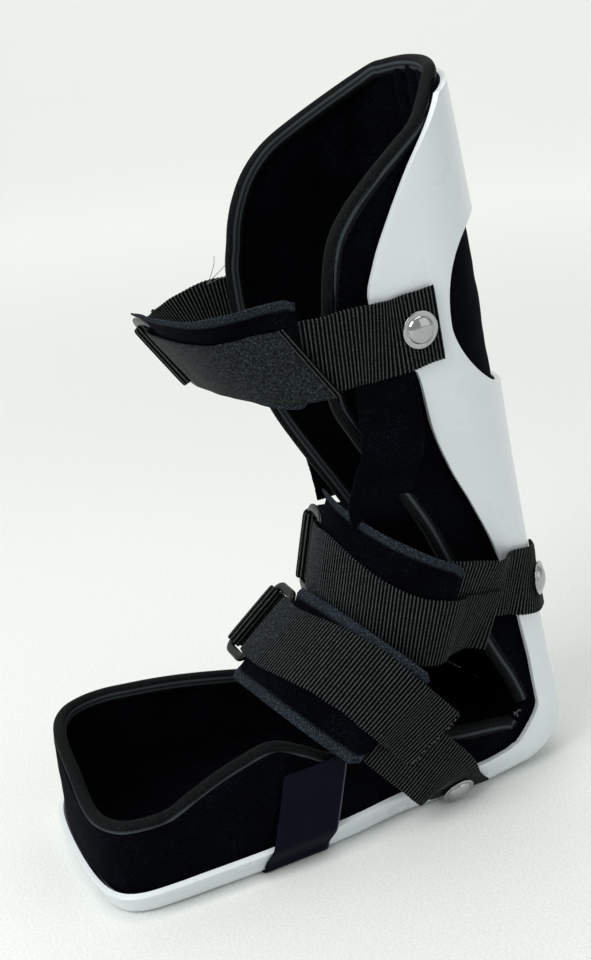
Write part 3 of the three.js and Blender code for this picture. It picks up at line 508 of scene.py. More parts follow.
def calf_ripple(spot, facing):
    """Sewn channels down the inside of the back and of the far side, with soft puckers, as outward moves."""
    soft = noise.noise(spot / 26) * 0.7 + noise.noise(spot / 9) * 0.25
    if facing.x > 0.3 and spot.x < -20 and spot.z > SIDE_CHANNEL_FROM:
        fades = smoothstep(spot.z, SIDE_CHANNEL_FROM, 330) * smoothstep(spot.y, 30, 90)
        return soft + SIDE_CHANNEL_DEEP * math.cos(spot.y / SIDE_CHANNEL_TURN) * fades - 1.2
    if facing.y > -0.1 or spot.z < CHANNEL_START:
        return soft - 0.5
    width = CALF_HALF - LINER_INSET - LINER_WALL
    sewn = sum(math.exp(-((spot.x / width - turn) / CHANNEL_WIDE) ** 2) for turn in CHANNEL_TURNS)
    return soft - CHANNEL_DEEP * sewn * smoothstep(spot.z, CHANNEL_START, 260) + 0.7


def foot_ripple(spot, facing):
    """Soft puckers of the foot half, as outward moves."""
    return noise.noise(spot / 30) * 0.8 + noise.noise(spot / 10) * 0.3 - 0.55


calf_places = spaced(LINER_TOP, 1.0, 110) + spaced(1.0, 0.5 + HEEL_SPLIT, 12)[1:]
liner_calf = padded_trough("liner_calf_velour", calf_places, 44, calf_ripple)
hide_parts("liner_calf")
foot_places = spaced(0.5 - HEEL_SPLIT, 0.0, 12) + spaced(0.0, -1.0, 60)[1:]
foot_places += [("toe", angle) for angle in spaced(0, 90, 30)[1:]]
liner_foot = padded_trough("liner_foot_velour", foot_places, 40, foot_ripple)
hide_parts("liner_foot")


# Bindings: knit tape about 22 mm wide, folded over the liner's edge and sewn through with two lines of
# stitches, so it reads as a soft bead with a groove under each line.


def curve_through(points, count):
    """Evenly spaced points on the smooth curve through the given ones, by centripetal spacing."""
    given = [Vector(p) for p in points]
    given = [given[0] * 2 - given[1], *given, given[-1] * 2 - given[-2]]
    dense = []
    for k in range(1, len(given) - 2):
        p0, p1, p2, p3 = given[k - 1:k + 3]
        d0, d1, d2 = (max((b - a).length ** 0.5, 1e-4) for a, b in ((p0, p1), (p1, p2), (p2, p3)))
        m1 = ((p1 - p0) / d0 - (p2 - p0) / (d0 + d1) + (p2 - p1) / d1) * d1
        m2 = ((p2 - p1) / d1 - (p3 - p1) / (d1 + d2) + (p3 - p2) / d2) * d1
        for n in range(40):
            t = n / 40
            dense.append(p1 + m1 * t + (p2 * 3 - p1 * 3 - m1 * 2 - m2) * t ** 2
                         + (p1 * 2 - p2 * 2 + m1 + m2) * t ** 3)
    dense.append(given[-2])
    line = np.array(dense, float)
    lengths = np.concatenate([[0], np.cumsum(np.linalg.norm(np.diff(line, axis=0), axis=1))])
    places = np.linspace(0, lengths[-1], count + 1)
    return np.stack([np.interp(places, lengths, line[:, n]) for n in range(3)], 1), lengths[-1]


def swept(name, frames, profile, closed=False):
    """A closed profile carried along frames (point, width direction, face direction), in millimetres.
    profile(k, run) gives the section at frame k as (width, face) pairs. The UV map holds metres: U is the
    place across the width and V the run along the piece."""
    points = np.array([f[0] for f in frames], float)
    steps = np.linalg.norm(np.diff(points, axis=0), axis=1)
    runs = np.concatenate([[0], np.cumsum(steps)])
    sections = [profile(k, runs[k]) for k in range(len(frames))]
    count = len(sections[0])

    def place(column, row):
        point, wide, face = frames[row]
        w, f = sections[row][column % count]
        return Vector(point) + Vector(wide) * w + Vector(face) * f

    def uv(column, row):
        return (sections[row][column % count][0] * MM, runs[row] * MM)

    piece = mapped_grid(name, count, len(frames) - 1, place, uv)
    shape = bmesh.new()
    shape.from_mesh(piece.data)
    if not closed:
        bmesh.ops.holes_fill(shape, edges=[e for e in shape.edges if e.is_boundary], sides=0)
    bmesh.ops.recalc_face_normals(shape, faces=shape.faces)
    shape.to_mesh(piece.data)
    shape.free()
    smooth(piece)
    return piece


LINER_FACES = (LINER_INSET, LINER_INSET + LINER_WALL)


def edge_pair(spot, side):
    """The liner's outer and inner edge points at a place, and the way that the edge faces."""
    place = trough_place(spot, side, "liner")
    depth = edge_depth(place, "liner")
    ends = [section_points(place, depth, inset, 24)[-1] for inset in LINER_FACES]
    return ends, place["up"]


def top_pairs():
    """The same along the liner's top, from the near side round to the far one."""
    place = station_at(LINER_TOP, 1)
    depth = edge_depth(place, "liner")
    lines = [section_points(place, depth, inset, 24) for inset in LINER_FACES]
    near = [((lines[0][k], lines[1][k]), place["tangent"]) for k in range(0, 21, 4)]
    flip = Vector((-1, 1, 1))
    far = [((a * flip, b * flip), away) for (a, b), away in near]
    return near[:0:-1] + far


def frames_along(line, tips):
    """Frames of a piece along a line, with its width turned toward the tips."""
    frames = []
    last = len(line) - 1
    for k in range(last + 1):
        along = Vector(line[min(k + 1, last)] - line[max(k - 1, 0)]).normalized()
        across = Vector(tips[k] - line[k])
        across = (across - along * across.dot(along)).normalized()
        frames.append((Vector(line[k]), across, along.cross(across).normalized()))
    return frames


def binding_frames(pairs, count):
    """Frames of a tape folded over an edge: the profile's width lies through the wall."""
    middles = [(Vector(a) + Vector(b)) / 2 for (a, b), away in pairs]
    line, _ = curve_through(middles, count)
    tips, _ = curve_through([(Vector(a) - Vector(b)).normalized() * 10 + m
                             for ((a, b), away), m in zip(pairs, middles)], count)
    aways, _ = curve_through([m + away * 10 for ((a, b), away), m in zip(pairs, middles)], count)
    return [(point, through, off if off.dot(Vector(away) - point) >= 0 else -off)
            for (point, through, off), away in zip(frames_along(line, tips), aways)]


def turns_of(count, shift=0.5):
    """Cosine and sine of evenly spaced angles round a section."""
    angles = [2 * math.pi * (n + shift) / count for n in range(count)]
    return [(math.cos(angle), math.sin(angle)) for angle in angles]


def signed_power(value, power):
    """The power that makes an oval squarer, with the value's sign."""
    return math.copysign(abs(value) ** power, value)


TAPE_POINTS, SEAM_COLUMNS = 28, (0, 13, 15)
TAPE_HALF, TAPE_RISE, TAPE_SINK = 3.4, 4.4, 0.2
STITCH_PITCH, SEAM_DEEP, SEAM_WIDE, SEAM_PLACES = 3.2, 0.4, 0.6, (-2.6, 0.6)


def folded_tape(k, run):
    """Section of the folded tape: a round top, two sides, and a groove under each line of stitches."""
    outline = []
    stitch = 0.6 + 0.4 * math.cos(2 * math.pi * run / STITCH_PITCH)
    for c, s in turns_of(TAPE_POINTS, 0):
        w = TAPE_HALF * signed_power(c, 0.8)
        f = TAPE_RISE * signed_power(s, 0.8) - TAPE_SINK
        dent = SEAM_DEEP * stitch * sum(math.exp(-((f - seam) / SEAM_WIDE) ** 2) for seam in SEAM_PLACES)
        outline.append((w - math.copysign(dent, w), f))
    return outline


# Knit tape: textured polyester, matt and very dark, with the paler thread of the seams. Its specks are
# 0.7 mm apart, coarser than the knit, so that they show.
knit_tape, shader = new_material("knit_binding_tape")
coords = add_node(knit_tape, "ShaderNodeTexCoord").outputs["Object"]
knit = add_node(knit_tape, "ShaderNodeTexNoise", inputs={
    "Vector": coords, "Scale": 1.5 / MM, "Detail": 2.0})
speck = add_node(knit_tape, "ShaderNodeValToRGB", inputs={"Fac": knit.outputs["Fac"]}, stops=[
    (0.38, "#020303"), (0.56, "#090c0d"), (0.74, "#1d2426")])
bump = add_node(knit_tape, "ShaderNodeBump", inputs={
    "Height": knit.outputs["Fac"], "Strength": 0.5, "Distance": 0.4 * MM})
seam = add_node(knit_tape, "ShaderNodeAttribute", settings={"attribute_name": "seam"})
stitched = add_node(knit_tape, "ShaderNodeMix", settings={"data_type": "RGBA"}, inputs={
    0: seam.outputs["Fac"], 6: speck.outputs["Color"], 7: linear("#454d50")})
set_inputs(knit_tape, shader, {
    "Base Color": stitched.outputs[2], "Normal": bump.outputs["Normal"], "Roughness": 0.7,
    "Specular IOR Level": 0.07, "Sheen Weight": 0.01})

calf_edge = [1.96, 1.93, 1.9, 1.87, 1.84, 1.81, 1.78, 1.74, 1.7, 1.66, 1.62, 1.58, 1.54, 1.5, 1.46, 1.42,
             1.38, 1.34, 1.3, 1.25, 1.2, 1.15, 1.1, 1.05, 1.0, 0.8]
foot_edge = [0.3, 0.1, 0.0, -0.06, -0.12, -0.18, -0.26, -0.35, -0.44, -0.52, -0.6, -0.67, -0.74, -0.81,
             -0.88, -0.94, -1.0] + [("toe", angle) for angle in (12, 24, 34, 42, 50, 58, 68, 80)]
calf_pairs = [edge_pair(at, 1) for at in reversed(calf_edge)] + top_pairs()
calf_pairs += [edge_pair(at, -1) for at in calf_edge]
foot_pairs = [edge_pair(at, 1) for at in foot_edge] + [edge_pair(("toe", 90), 1)]
foot_pairs += [edge_pair(at, -1) for at in reversed(foot_edge)]
for name, pairs, steps, node in (("calf_binding_tape", calf_pairs, 1100, "calf_binding"),
                                 ("foot_binding_tape", foot_pairs, 900, "foot_binding")):
    binding = swept(name, binding_frames(pairs, steps), folded_tape)
    columns = grid_place(binding, "column") % TAPE_POINTS
    mark_points(binding, "seam", np.isin(columns, SEAM_COLUMNS) * 0.8)
    binding.data.materials.append(knit_tape)
    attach(binding, "root")
    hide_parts(node)


# Strap loops: the way of each strap pair, which lies on the shell at its rivets, then leans free round the
# leg as one loop. Each end folds round a bar of the plastic loop, and the near one comes back over the pad.
WEBBING_WIDTH, WEBBING_THICK, SEAT_ROOM, GAP = 38, 1.5, 1.3, 0.3
BAR_THICK, BAR_WIDE, LOOP_INSIDE = 3, 3.2, 13
PAD_THICK, LAYER_ROOM = 3.4, 0.6
LAYER_STEP = WEBBING_THICK + 2 * GAP
PAD_OFF = (WEBBING_THICK + PAD_THICK) / 2 + LAYER_ROOM
# seat: place and depth on the shell of the strap's first points. pitch: degrees that the loop's plane rises.
# half, side_run, reach, square: the front arch. side: run and x of the free points before it. bar_at,
# tail_at, pile_end and the pad's start and end: shares of the loop. lean: share, degrees. drift: sideways.
# slant: cut of the tail's end. The rest are lifts and room off the loop's line.
STRAPS = {
    "calf": dict(
        seat=[(1.698, 51), (1.698, 62), (1.698, 76)], pitch=-4, half=61.5, side_run=48, reach=48, square=2,
        side=[(32, 61.2)], bar_at=0.55, tail_at=0.235, drift=0, skewed=False,
        lean=[(0, 3), (0.2, 4), (0.28, 12), (0.38, 30), (0.5, 32), (0.66, 32), (0.82, 6), (1, 3)],
        rivet_lift=0, fold_room=0.8, far_lift=7, pile_end=1.95, slant=-0.6,
        pad=dict(start=0.25, end=0.535, width=57, drift=(5.5, 5.5))),
    "ankle": dict(
        seat=[(1.216, 2.5), (1.226, 9.4), (1.238, 18), (1.25, 27)], pitch=12.5, half=52, side_run=66,
        reach=45, square=2, side=[(34, 45.5), (52, 50)], bar_at=0.54, tail_at=0.15, drift=-20, skewed=False,
        lean=[(0, 0), (0.1, 20), (0.14, 22), (0.25, 10), (0.4, 0), (0.66, 0), (0.86, 22), (0.9, 20),
              (1, 0)],
        rivet_lift=0.8, fold_room=0.1, far_lift=4, pile_end=1.12, slant=0,
        pad=dict(start=0.255, end=0.525, width=58, drift=(-10, 13))),
    "instep": dict(
        seat=[(-0.236, 7.6), (-0.252, 11.4), (-0.268, 15.8)], pitch=50, half=63.5, side_run=50, reach=66,
        square=2.6, side=[(22, 62.4)], bar_at=0.55, tail_at=0.17, drift=13, skewed=True,
        lean=[(0, 0), (1, 0)],
        rivet_lift=1.7, fold_room=0.1, far_lift=4, pile_end=1.14, slant=0.12,
        pad=dict(start=0.25, end=0.535, width=62, drift=(7, -2))),
}


def seat_at(at, depth, side, offset):
    """Point, outward normal and spineward direction on the shell's outer face."""
    def on_face(spot):
        place = station_at(spot, side)
        across = place["round"] * place["half"]
        on_corner = depth < place["curve"]
        turn = math.acos(1 - depth / place["curve"]) if on_corner else math.pi / 2
        x = place["half"] - across * (1 - math.sin(turn)) + place["flare"] * max(depth - place["curve"], 0)
        slope = (1, -place["flare"])
        if on_corner:
            slope = (math.sin(turn) / across, -math.cos(turn) / place["curve"])
        normal = (place["out"] * slope[0] + place["up"] * slope[1]).normalized()
        return place["point"] + place["out"] * x + place["up"] * depth, normal
    point, normal = on_face(at)
    spineward = (on_face(at + 0.02)[0] - on_face(at - 0.02)[0]).normalized()
    normal = (normal - spineward * normal.dot(spineward)).normalized()
    return point + normal * offset, normal, spineward


# A strap turns free of its seat over the share LET_GO of its loop
LOOP_STEPS, LET_GO = 1600, 0.07


def strap_loop(spec):
    """Frame function (point, across, face, along) of a loop by the share of its length, then the loop's
    length and the rivet's share."""
    pitch = math.radians(spec["pitch"])
    forward = Vector((0, -math.cos(pitch), math.sin(pitch)))
    wide = Vector((0, math.sin(pitch), math.cos(pitch)))
    seats = {side: [seat_at(at, depth, side, SEAT_ROOM + WEBBING_THICK / 2) for at, depth in spec["seat"]]
             for side in (1, -1)}
    rivet = seats[1][1][0]

    def ahead(run, x):
        return Vector((x, rivet.y, rivet.z)) + forward * run

    near = [point for point, normal, spineward in seats[1]] + [ahead(run, x) for run, x in spec["side"]]
    arch = []
    for degrees in spaced(0, 180, 14):
        c, s = math.cos(math.radians(degrees)), max(math.sin(math.radians(degrees)), 0)
        arch.append(ahead(spec["side_run"] + spec["reach"] * s ** (2 / spec["square"]),
                          spec["half"] * signed_power(c, 2 / spec["square"])))
    far = [Vector((-p.x, p.y, p.z)) for p in reversed(near)]
    line, length = curve_through(near + arch + far, LOOP_STEPS)
    places = np.linspace(0, 1, LOOP_STEPS + 1)
    seat_places = [0]
    for a, b in zip(seats[1], seats[1][1:]):
        seat_places.append(seat_places[-1] + (b[0] - a[0]).length / length)

    def point_at(u):
        return Vector([float(np.interp(u, places, line[:, n])) for n in range(3)])

    def seat_value(side, column, share):
        k = 0
        while k < len(seat_places) - 2 and share > seat_places[k + 1]:
            k += 1
        t = min(max((share - seat_places[k]) / (seat_places[k + 1] - seat_places[k]), 0), 1)
        return seats[side][k][column].lerp(seats[side][k + 1][column], t).normalized()

    def frame_at(u, offset=0, drift=0):
        along = (point_at(min(u + 0.002, 1)) - point_at(max(u - 0.002, 0))).normalized()
        share = min(u, 1 - u)
        flat = (wide - along * wide.dot(along)).normalized()
        outward = flat.cross(along)
        lean = math.radians(table_value(spec["lean"], 1, u))
        free = flat * math.cos(lean) + outward * math.sin(lean)
        side = 1 if u < 0.5 else -1
        seated = along.cross(seat_value(side, 1, share)).normalized()
        if spec["skewed"]:
            seated = seat_value(side, 2, share)
        if seated.dot(free) < 0:
            seated = -seated
        freed = smoothstep(share, seat_places[-1], seat_places[-1] + LET_GO)
        across = seated.lerp(free, freed).normalized()
        face = across.cross(along).normalized()
        return point_at(u) + face * offset + across * drift, across, face, along

    return frame_at, length, seat_places[1]


def folded_frames(loop, length, spec, start, bar_at, tail_at, drift, step):
    """Frames of a strap from its rivet to the bar, round the bar and back over itself, step apart. The far
    strap's end stands out from the loop, so that the plastic loop between the bars turns outward."""
    far_lift = spec["far_lift"] if start == 1 else 0

    def lift(u):
        return far_lift * (1 - smoothstep(abs(u - bar_at) * length, 4, 60))

    fold = math.hypot(BAR_THICK, BAR_WIDE) / 2 + GAP + WEBBING_THICK / 2 + spec["fold_room"]
    way = math.copysign(1, bar_at - start)
    frames, marks = [], []
    for u in spaced(start, bar_at, round(abs(bar_at - start) * length / step)):
        frames.append(loop(u, lift(u))[:3])
        marks.append(0)
    point, across, face, along = loop(bar_at, far_lift)
    bar = point + face * fold
    for degrees in spaced(0, 180, round(math.pi * fold / step))[1:-1]:
        turn = math.radians(degrees)
        frames.append((bar - face * fold * math.cos(turn) + along * way * fold * math.sin(turn), across,
                       face * math.cos(turn) - along * way * math.sin(turn)))
        marks.append(0.5)
    for u in spaced(bar_at, tail_at, round(abs(bar_at - tail_at) * length / step)):
        away = abs(u - bar_at) * length
        flat = LAYER_STEP + (2 * PAD_OFF - LAYER_STEP) * smoothstep(u, spec["pad"]["start"] - 0.035,
                                                                    spec["pad"]["start"] + 0.005)
        if start == 1:
            flat = LAYER_STEP
        offset = flat + (2 * fold - flat) * (1 - smoothstep(away, 0, 22))
        share = abs((u - bar_at) / (tail_at - bar_at))
        point, across, face, along = loop(u, offset + lift(u), drift * smoothstep(share, 0.08, 0.65))
        frames.append((point, across - along * way * spec["slant"] * smoothstep(share, 0.6, 1), -face))
        marks.append(1 + share)
    return frames, marks, bar


# Webbing: narrow nylon woven with ribs across it 2 mm apart. The long tails carry brushed loop pile on
# their front part, where the hook tape of the pad grips.
RIB_PITCH, RIB_RISE, RIB_STATIONS = 2.0, 0.32, 5
WEBBING_POINTS, EDGE_WANDER, EDGE_NOTCH, FAR_TAIL = 22, 0.5, 0.22, 24


def ribbed_section(pile, seed):
    """Section of the webbing: ribs run across it, except where pile(k) covers them."""
    def section(k, run):
        rib = RIB_RISE * (1 - pile(k))
        thick = WEBBING_THICK / 2 + rib * math.cos(2 * math.pi * run / RIB_PITCH)
        outline = []
        for c, s in turns_of(WEBBING_POINTS):
            edge = WEBBING_WIDTH / 2
            edge += EDGE_WANDER * noise.noise(Vector((run / 11, seed, math.copysign(4, c))))
            edge += EDGE_NOTCH * (1 - pile(k)) * math.cos(2 * math.pi * run / RIB_PITCH)
            outline.append((edge * signed_power(c, 0.22), thick * signed_power(s, 0.4)))
        return outline
    return section


# Ribbed nylon: spun-dyed dark yarn. Its colour has painted shade between the ribs, where it is black, and a
# painted highlight on their crests. Where it is brushed to pile it is an even dark grey with specks about 1
# mm apart, drawn coarser than the loops.
webbing, shader = new_material("ribbed_nylon_webbing")
coords = add_node(webbing, "ShaderNodeTexCoord")
length_way = add_node(webbing, "ShaderNodeSeparateXYZ", inputs={"Vector": coords.outputs["UV"]})
# Painted light on the ribs: a wave along the webbing, in step with the ribs' height, darkens the valleys
# (painted shade) and lightens the crests (painted highlight).
turns = add_node(webbing, "ShaderNodeMath", settings={"operation": "MULTIPLY"}, inputs={
    0: length_way.outputs["Y"], 1: 2 * math.pi / (RIB_PITCH * MM)})
crest = add_node(webbing, "ShaderNodeMath", settings={"operation": "COSINE"}, inputs={
    0: turns.outputs["Value"]})
share = add_node(webbing, "ShaderNodeMapRange", inputs={
    "Value": crest.outputs["Value"], "From Min": -1.0, "From Max": 1.0})
fibre = add_node(webbing, "ShaderNodeTexNoise", inputs={
    "Vector": coords.outputs["Object"], "Scale": 1.4 / MM, "Detail": 3.0})
spun = add_node(webbing, "ShaderNodeMath", settings={"operation": "MULTIPLY_ADD"}, inputs={
    0: fibre.outputs["Fac"], 1: 0.9, 2: -0.45})
lit = add_node(webbing, "ShaderNodeMath", settings={"operation": "ADD"}, inputs={
    0: share.outputs["Result"], 1: spun.outputs["Value"]})
ribs = add_node(webbing, "ShaderNodeValToRGB", inputs={"Fac": lit.outputs["Value"]}, stops=[
    (0.4, "#000000"), (0.7, "#070909"), (1.0, "#424949")])
tuft = add_node(webbing, "ShaderNodeTexNoise", inputs={
    "Vector": coords.outputs["Object"], "Scale": 0.9 / MM, "Detail": 4.0, "Roughness": 0.75})
looped = add_node(webbing, "ShaderNodeValToRGB", inputs={"Fac": tuft.outputs["Fac"]}, stops=[
    (0.38, "#0a0b0b"), (0.55, "#202526"), (0.7, "#454c4f")])
pile_share = add_node(webbing, "ShaderNodeAttribute", settings={"attribute_name": "pile"})
napped = add_node(webbing, "ShaderNodeMix", settings={"data_type": "RGBA"}, inputs={
    0: pile_share.outputs["Fac"], 6: ribs.outputs["Color"], 7: looped.outputs["Color"]})
bump = add_node(webbing, "ShaderNodeBump", inputs={
    "Height": tuft.outputs["Fac"], "Strength": 0.5, "Distance": 0.4 * MM})
set_inputs(webbing, shader, {
    "Base Color": napped.outputs[2], "Normal": bump.outputs["Normal"], "Roughness": 0.6,
    "Specular IOR Level": 0.04, "Sheen Weight": 0.005})

loops, bars, tails = {}, {}, {}
step = RIB_PITCH / RIB_STATIONS
for order, (name, spec) in enumerate(STRAPS.items()):
    loop, length, rivet_at = strap_loop(spec)
    loops[name] = loop, rivet_at
    far_bar = spec["bar_at"] + (LOOP_INSIDE + BAR_WIDE) / length
    runs = {
        "": folded_frames(loop, length, spec, 0, spec["bar_at"], spec["tail_at"], spec["drift"], step),
        "_far": folded_frames(loop, length, spec, 1, far_bar, far_bar + FAR_TAIL / length, 0, step),
    }
    bars[name] = runs[""][2], runs["_far"][2], loop(spec["bar_at"])[1]
    tails[name] = runs[""][0][-1], runs[""][0][-1][0] - runs[""][0][-9][0]
    for suffix, (frames, marks, bar) in runs.items():
        def pile(k, marks=marks, has=suffix == "", ends=spec["pile_end"]):
            if not has:
                return 0
            return smoothstep(marks[k], 0.2, 0.6) * (1 - smoothstep(marks[k], ends, ends + 0.03))

        strap = swept(f"{name}_strap{suffix}_webbing", frames, ribbed_section(pile, order))
        lookup = np.array([pile(k) for k in range(len(frames))])
        mark_points(strap, "pile", lookup[grid_place(strap, "row")])
        strap.data.materials.append(webbing)
        total = sum((Vector(b[0]) - Vector(a[0])).length for a, b in zip(frames, frames[1:]))
        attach(strap, "root")
        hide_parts(f"{name}_strap{suffix}")


# Pads: foam in the liner's velour, with the edges rolled under a narrow knit tape. They lie between the
# near strap and the tail that comes back over it, and their upper edges curl out.
# Their velour is the liner's, and the tape on their edges is a paler grey knit.
pad_velour = liner_velour.copy()
pad_velour.name = "pad_velour"
rolled = add_node(pad_velour, "ShaderNodeAttribute", settings={"attribute_name": "rolled"})
coords = add_node(pad_velour, "ShaderNodeTexCoord").outputs["Object"]
knit = add_node(pad_velour, "ShaderNodeTexNoise", inputs={
    "Vector": coords, "Scale": 1.5 / MM, "Detail": 2.0})
rim = add_node(pad_velour, "ShaderNodeValToRGB", inputs={"Fac": knit.outputs["Fac"]}, stops=[
    (0.38, "#101416"), (0.56, "#252c32"), (0.74, "#49525a")])
shader = pad_velour.node_tree.nodes["Principled BSDF"]
edged = add_node(pad_velour, "ShaderNodeMix", settings={"data_type": "RGBA"}, inputs={
    0: rolled.outputs["Fac"], 6: shader.inputs["Base Color"].links[0].from_socket, 7: rim.outputs["Color"]})
set_inputs(pad_velour, shader, {"Base Color": edged.outputs[2]})

PAD_POINTS, PAD_STEPS, PAD_SQUARE, ROLL_WIDTH = 44, 220, 0.7, 5.6
CURL_ABOVE, CURL_BELOW, CURL_WANDER = 3.6, 1.2, 1.1


def pad_section(width, seed):
    """Section of a pad: puffed inside its rolled edge, narrower at its two ends, with its edges curled."""
    half = width / 2

    def section(k, run):
        end = min(k, PAD_STEPS - k) / PAD_STEPS
        puff = 0.55 + 0.45 * smoothstep(end, 0, 0.03)
        narrow = 1 - 0.10 * (1 - smoothstep(end, 0, 0.07)) ** 2
        outline = []
        for c, s in turns_of(PAD_POINTS):
            w = half * narrow * signed_power(c, PAD_SQUARE)
            inset = half * narrow - abs(w)
            thick = PAD_THICK / 2 * (0.62 + 0.38 * smoothstep(inset, 3, 12)) * puff
            f = thick * signed_power(s, 0.5)
            f *= 1 - 0.35 * math.exp(-((inset - ROLL_WIDTH) / 0.9) ** 2)
            lift = smoothstep(abs(w) / half, 0.72, 1.0) * (0.6 + 0.4 * (1 - smoothstep(end, 0, 0.3)))
            curl = (CURL_ABOVE if w > 0 else CURL_BELOW) * lift
            wander = CURL_WANDER * noise.noise(Vector((run / 16, w / 20, seed)))
            curl += wander * smoothstep(abs(w) / half, 0.5, 1)
            outline.append((w, f + curl))
        return outline
    return section


for order, (name, spec) in enumerate(STRAPS.items()):
    pad = spec["pad"]
    frames = []
    for share in spaced(0, 1, PAD_STEPS):
        u = pad["start"] + (pad["end"] - pad["start"]) * share
        drift = pad["drift"][0] + (pad["drift"][1] - pad["drift"][0]) * share
        frames.append(loops[name][0](u, PAD_OFF, drift)[:3])
    cushion = swept(f"{name}_pad_velour", frames, pad_section(pad["width"], 7 + order))
    inset = np.array([(1 - abs(c) ** PAD_SQUARE) * pad["width"] / 2 for c, s in turns_of(PAD_POINTS)])
    at_edge = inset[grid_place(cushion, "column") % PAD_POINTS] < ROLL_WIDTH - 0.5
    mark_points(cushion, "rolled", at_edge.astype(float))
    cushion.data.materials.append(pad_velour)
    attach(cushion, "root")
    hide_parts(f"{name}_pad")


# Plastic loops: frames moulded in one piece with rounded bars and corners. Both straps of a pair fold
# round their long bars, so the near one can be drawn tight.
SIDE_ROOM, LOOP_CORNER, BAR_SHIFT, BAR_REACH = 0.9, 3.4, 0.9, 2.6
# Moulded black acetal: near black with soft highlights, blurred by wear about 3 mm apart.
moulded, shader = new_material("glossy_black_moulding")
coords = add_node(moulded, "ShaderNodeTexCoord").outputs["Object"]
grain = add_node(moulded, "ShaderNodeTexNoise", inputs={
    "Vector": coords, "Scale": 0.3 / MM, "Detail": 3.0})
gloss = add_node(moulded, "ShaderNodeMapRange", inputs={
    "Value": grain.outputs["Fac"], "From Min": 0.3, "From Max": 0.7, "To Min": 0.2, "To Max": 0.34})
set_inputs(moulded, shader, {
    "Base Color": linear("#050506"), "Roughness": gloss.outputs["Result"], "Specular IOR Level": 0.3})


def bar_section(k, run):
    """Section of a loop's bar, whose wider side lies outward."""
    return [(BAR_SHIFT + BAR_REACH * signed_power(c, 0.7), BAR_THICK / 2 * signed_power(s, 0.7))
            for c, s in turns_of(20, 0)]


for name, (near_bar, far_bar, across) in bars.items():
    way = far_bar - near_bar
    long_half, wide_half = way.length / 2, WEBBING_WIDTH / 2 + SIDE_ROOM + BAR_WIDE / 2
    way.normalize()
    wide = (across - way * across.dot(way)).normalized()
    face = way.cross(wide)
    centre = (near_bar + far_bar) / 2
    path = []
    for turn_x, turn_y, start in ((1, 1, 0), (-1, 1, 90), (-1, -1, 180), (1, -1, 270)):
        for degrees in spaced(start, start + 90, 10):
            turn = math.radians(degrees)
            x = turn_x * (long_half - LOOP_CORNER) + LOOP_CORNER * math.cos(turn)
            y = turn_y * (wide_half - LOOP_CORNER) + LOOP_CORNER * math.sin(turn)
            path.append((x, y, math.cos(turn), math.sin(turn)))
    path.append(path[0])
    frames = [(centre + way * x + wide * y, way * nx + wide * ny, face) for x, y, nx, ny in path]
    ring = swept(f"{name}_loop_moulded", frames, bar_section, closed=True)
    ring.data.materials.append(moulded)
    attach(ring, "root")
    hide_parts(f"{name}_loop")


# Rivets: plated steel domes in a flat ring, with a shank through the webbing and the shell. One rivet
# holds each end of a strap pair.
RIVET_CAP, RIVET_DOME, SHANK_RADIUS = 9.5, 3.6, 2.5
# Chrome plate on steel, polished: a bright neutral mirror, blurred a little by wear about 2 mm apart.
polished, shader = new_material("polished_chrome")
coords = add_node(polished, "ShaderNodeTexCoord").outputs["Object"]
wear = add_node(polished, "ShaderNodeTexNoise", inputs={
    "Vector": coords, "Scale": 0.5 / MM, "Detail": 3.0})
gloss = add_node(polished, "ShaderNodeMapRange", inputs={
    "Value": wear.outputs["Fac"], "From Min": 0.35, "From Max": 0.7, "To Min": 0.08, "To Max": 0.2})
set_inputs(polished, shader, {
    "Base Color": linear("#a9abab"), "Roughness": gloss.outputs["Result"], "Metallic": 1.0})

for name, spec in STRAPS.items():
    loop, rivet_at = loops[name]
    for side, u in (("near", rivet_at), ("far", 1 - rivet_at)):
        point, across, face, along = loop(u, WEBBING_THICK / 2 + spec["rivet_lift"])
        shank = WEBBING_THICK + SEAT_ROOM + SHELL_WALL + spec["rivet_lift"]
        # Half section: the shank with its chamfer, the ring's underside, its round rim, and the dome
        profile = [(0, -shank), (SHANK_RADIUS - 0.3, -shank), (SHANK_RADIUS, -shank + 0.3),
                   (SHANK_RADIUS, GAP), (RIVET_CAP - 0.4, GAP), (RIVET_CAP, GAP + 0.35),
                   (RIVET_CAP - 0.15, GAP + 0.8), (RIVET_CAP - 0.7, GAP + 1.0),
                   (RIVET_CAP - 2.0, GAP + 0.95), (RIVET_CAP - 2.3, GAP + 0.75)]
        dome = RIVET_CAP - 2.5
        for degrees in spaced(8, 90, 12):
            turn = math.radians(degrees)
            profile.append((dome * math.cos(turn), GAP + 0.6 + (RIVET_DOME - 0.6) * math.sin(turn)))
        profile[-1] = (0, GAP + RIVET_DOME)
        shape = bmesh.new()
        verts = [shape.verts.new(Vector((r, 0, h)) * MM) for r, h in profile]
        edges = [shape.edges.new(pair) for pair in zip(verts, verts[1:])]
        bmesh.ops.spin(shape, geom=verts + edges, cent=(0, 0, 0), axis=(0, 0, 1), angle=2 * math.pi,
                       steps=48, use_merge=True)
        bmesh.ops.remove_doubles(shape, verts=shape.verts, dist=0.01 * MM)
        bmesh.ops.recalc_face_normals(shape, faces=shape.faces)
        turned = Matrix((across, face.cross(across), face)).transposed().to_4x4()
        turned.translation = point * MM
        bmesh.ops.transform(shape, matrix=turned, verts=shape.verts)
        rivet = piece_from(f"{name}_rivet_{side}_chrome", shape)
        smooth(rivet)
        rivet.data.materials.append(polished)
        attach(rivet, "root")
        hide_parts(f"{name}_rivet_{side}")


# Forefoot tape: smooth woven tape in the sole's groove, up round both flanges and laid on the liner's
# walls. It holds the liner down in the shell.
TAPE_WIDTH, TAPE_FOOT, TAPE_STEPS = 38, -36, 420
GROOVE_DEEP, TAPE_OFF = WEBBING_THICK + 2 * GAP - 0.2, GAP + WEBBING_THICK / 2
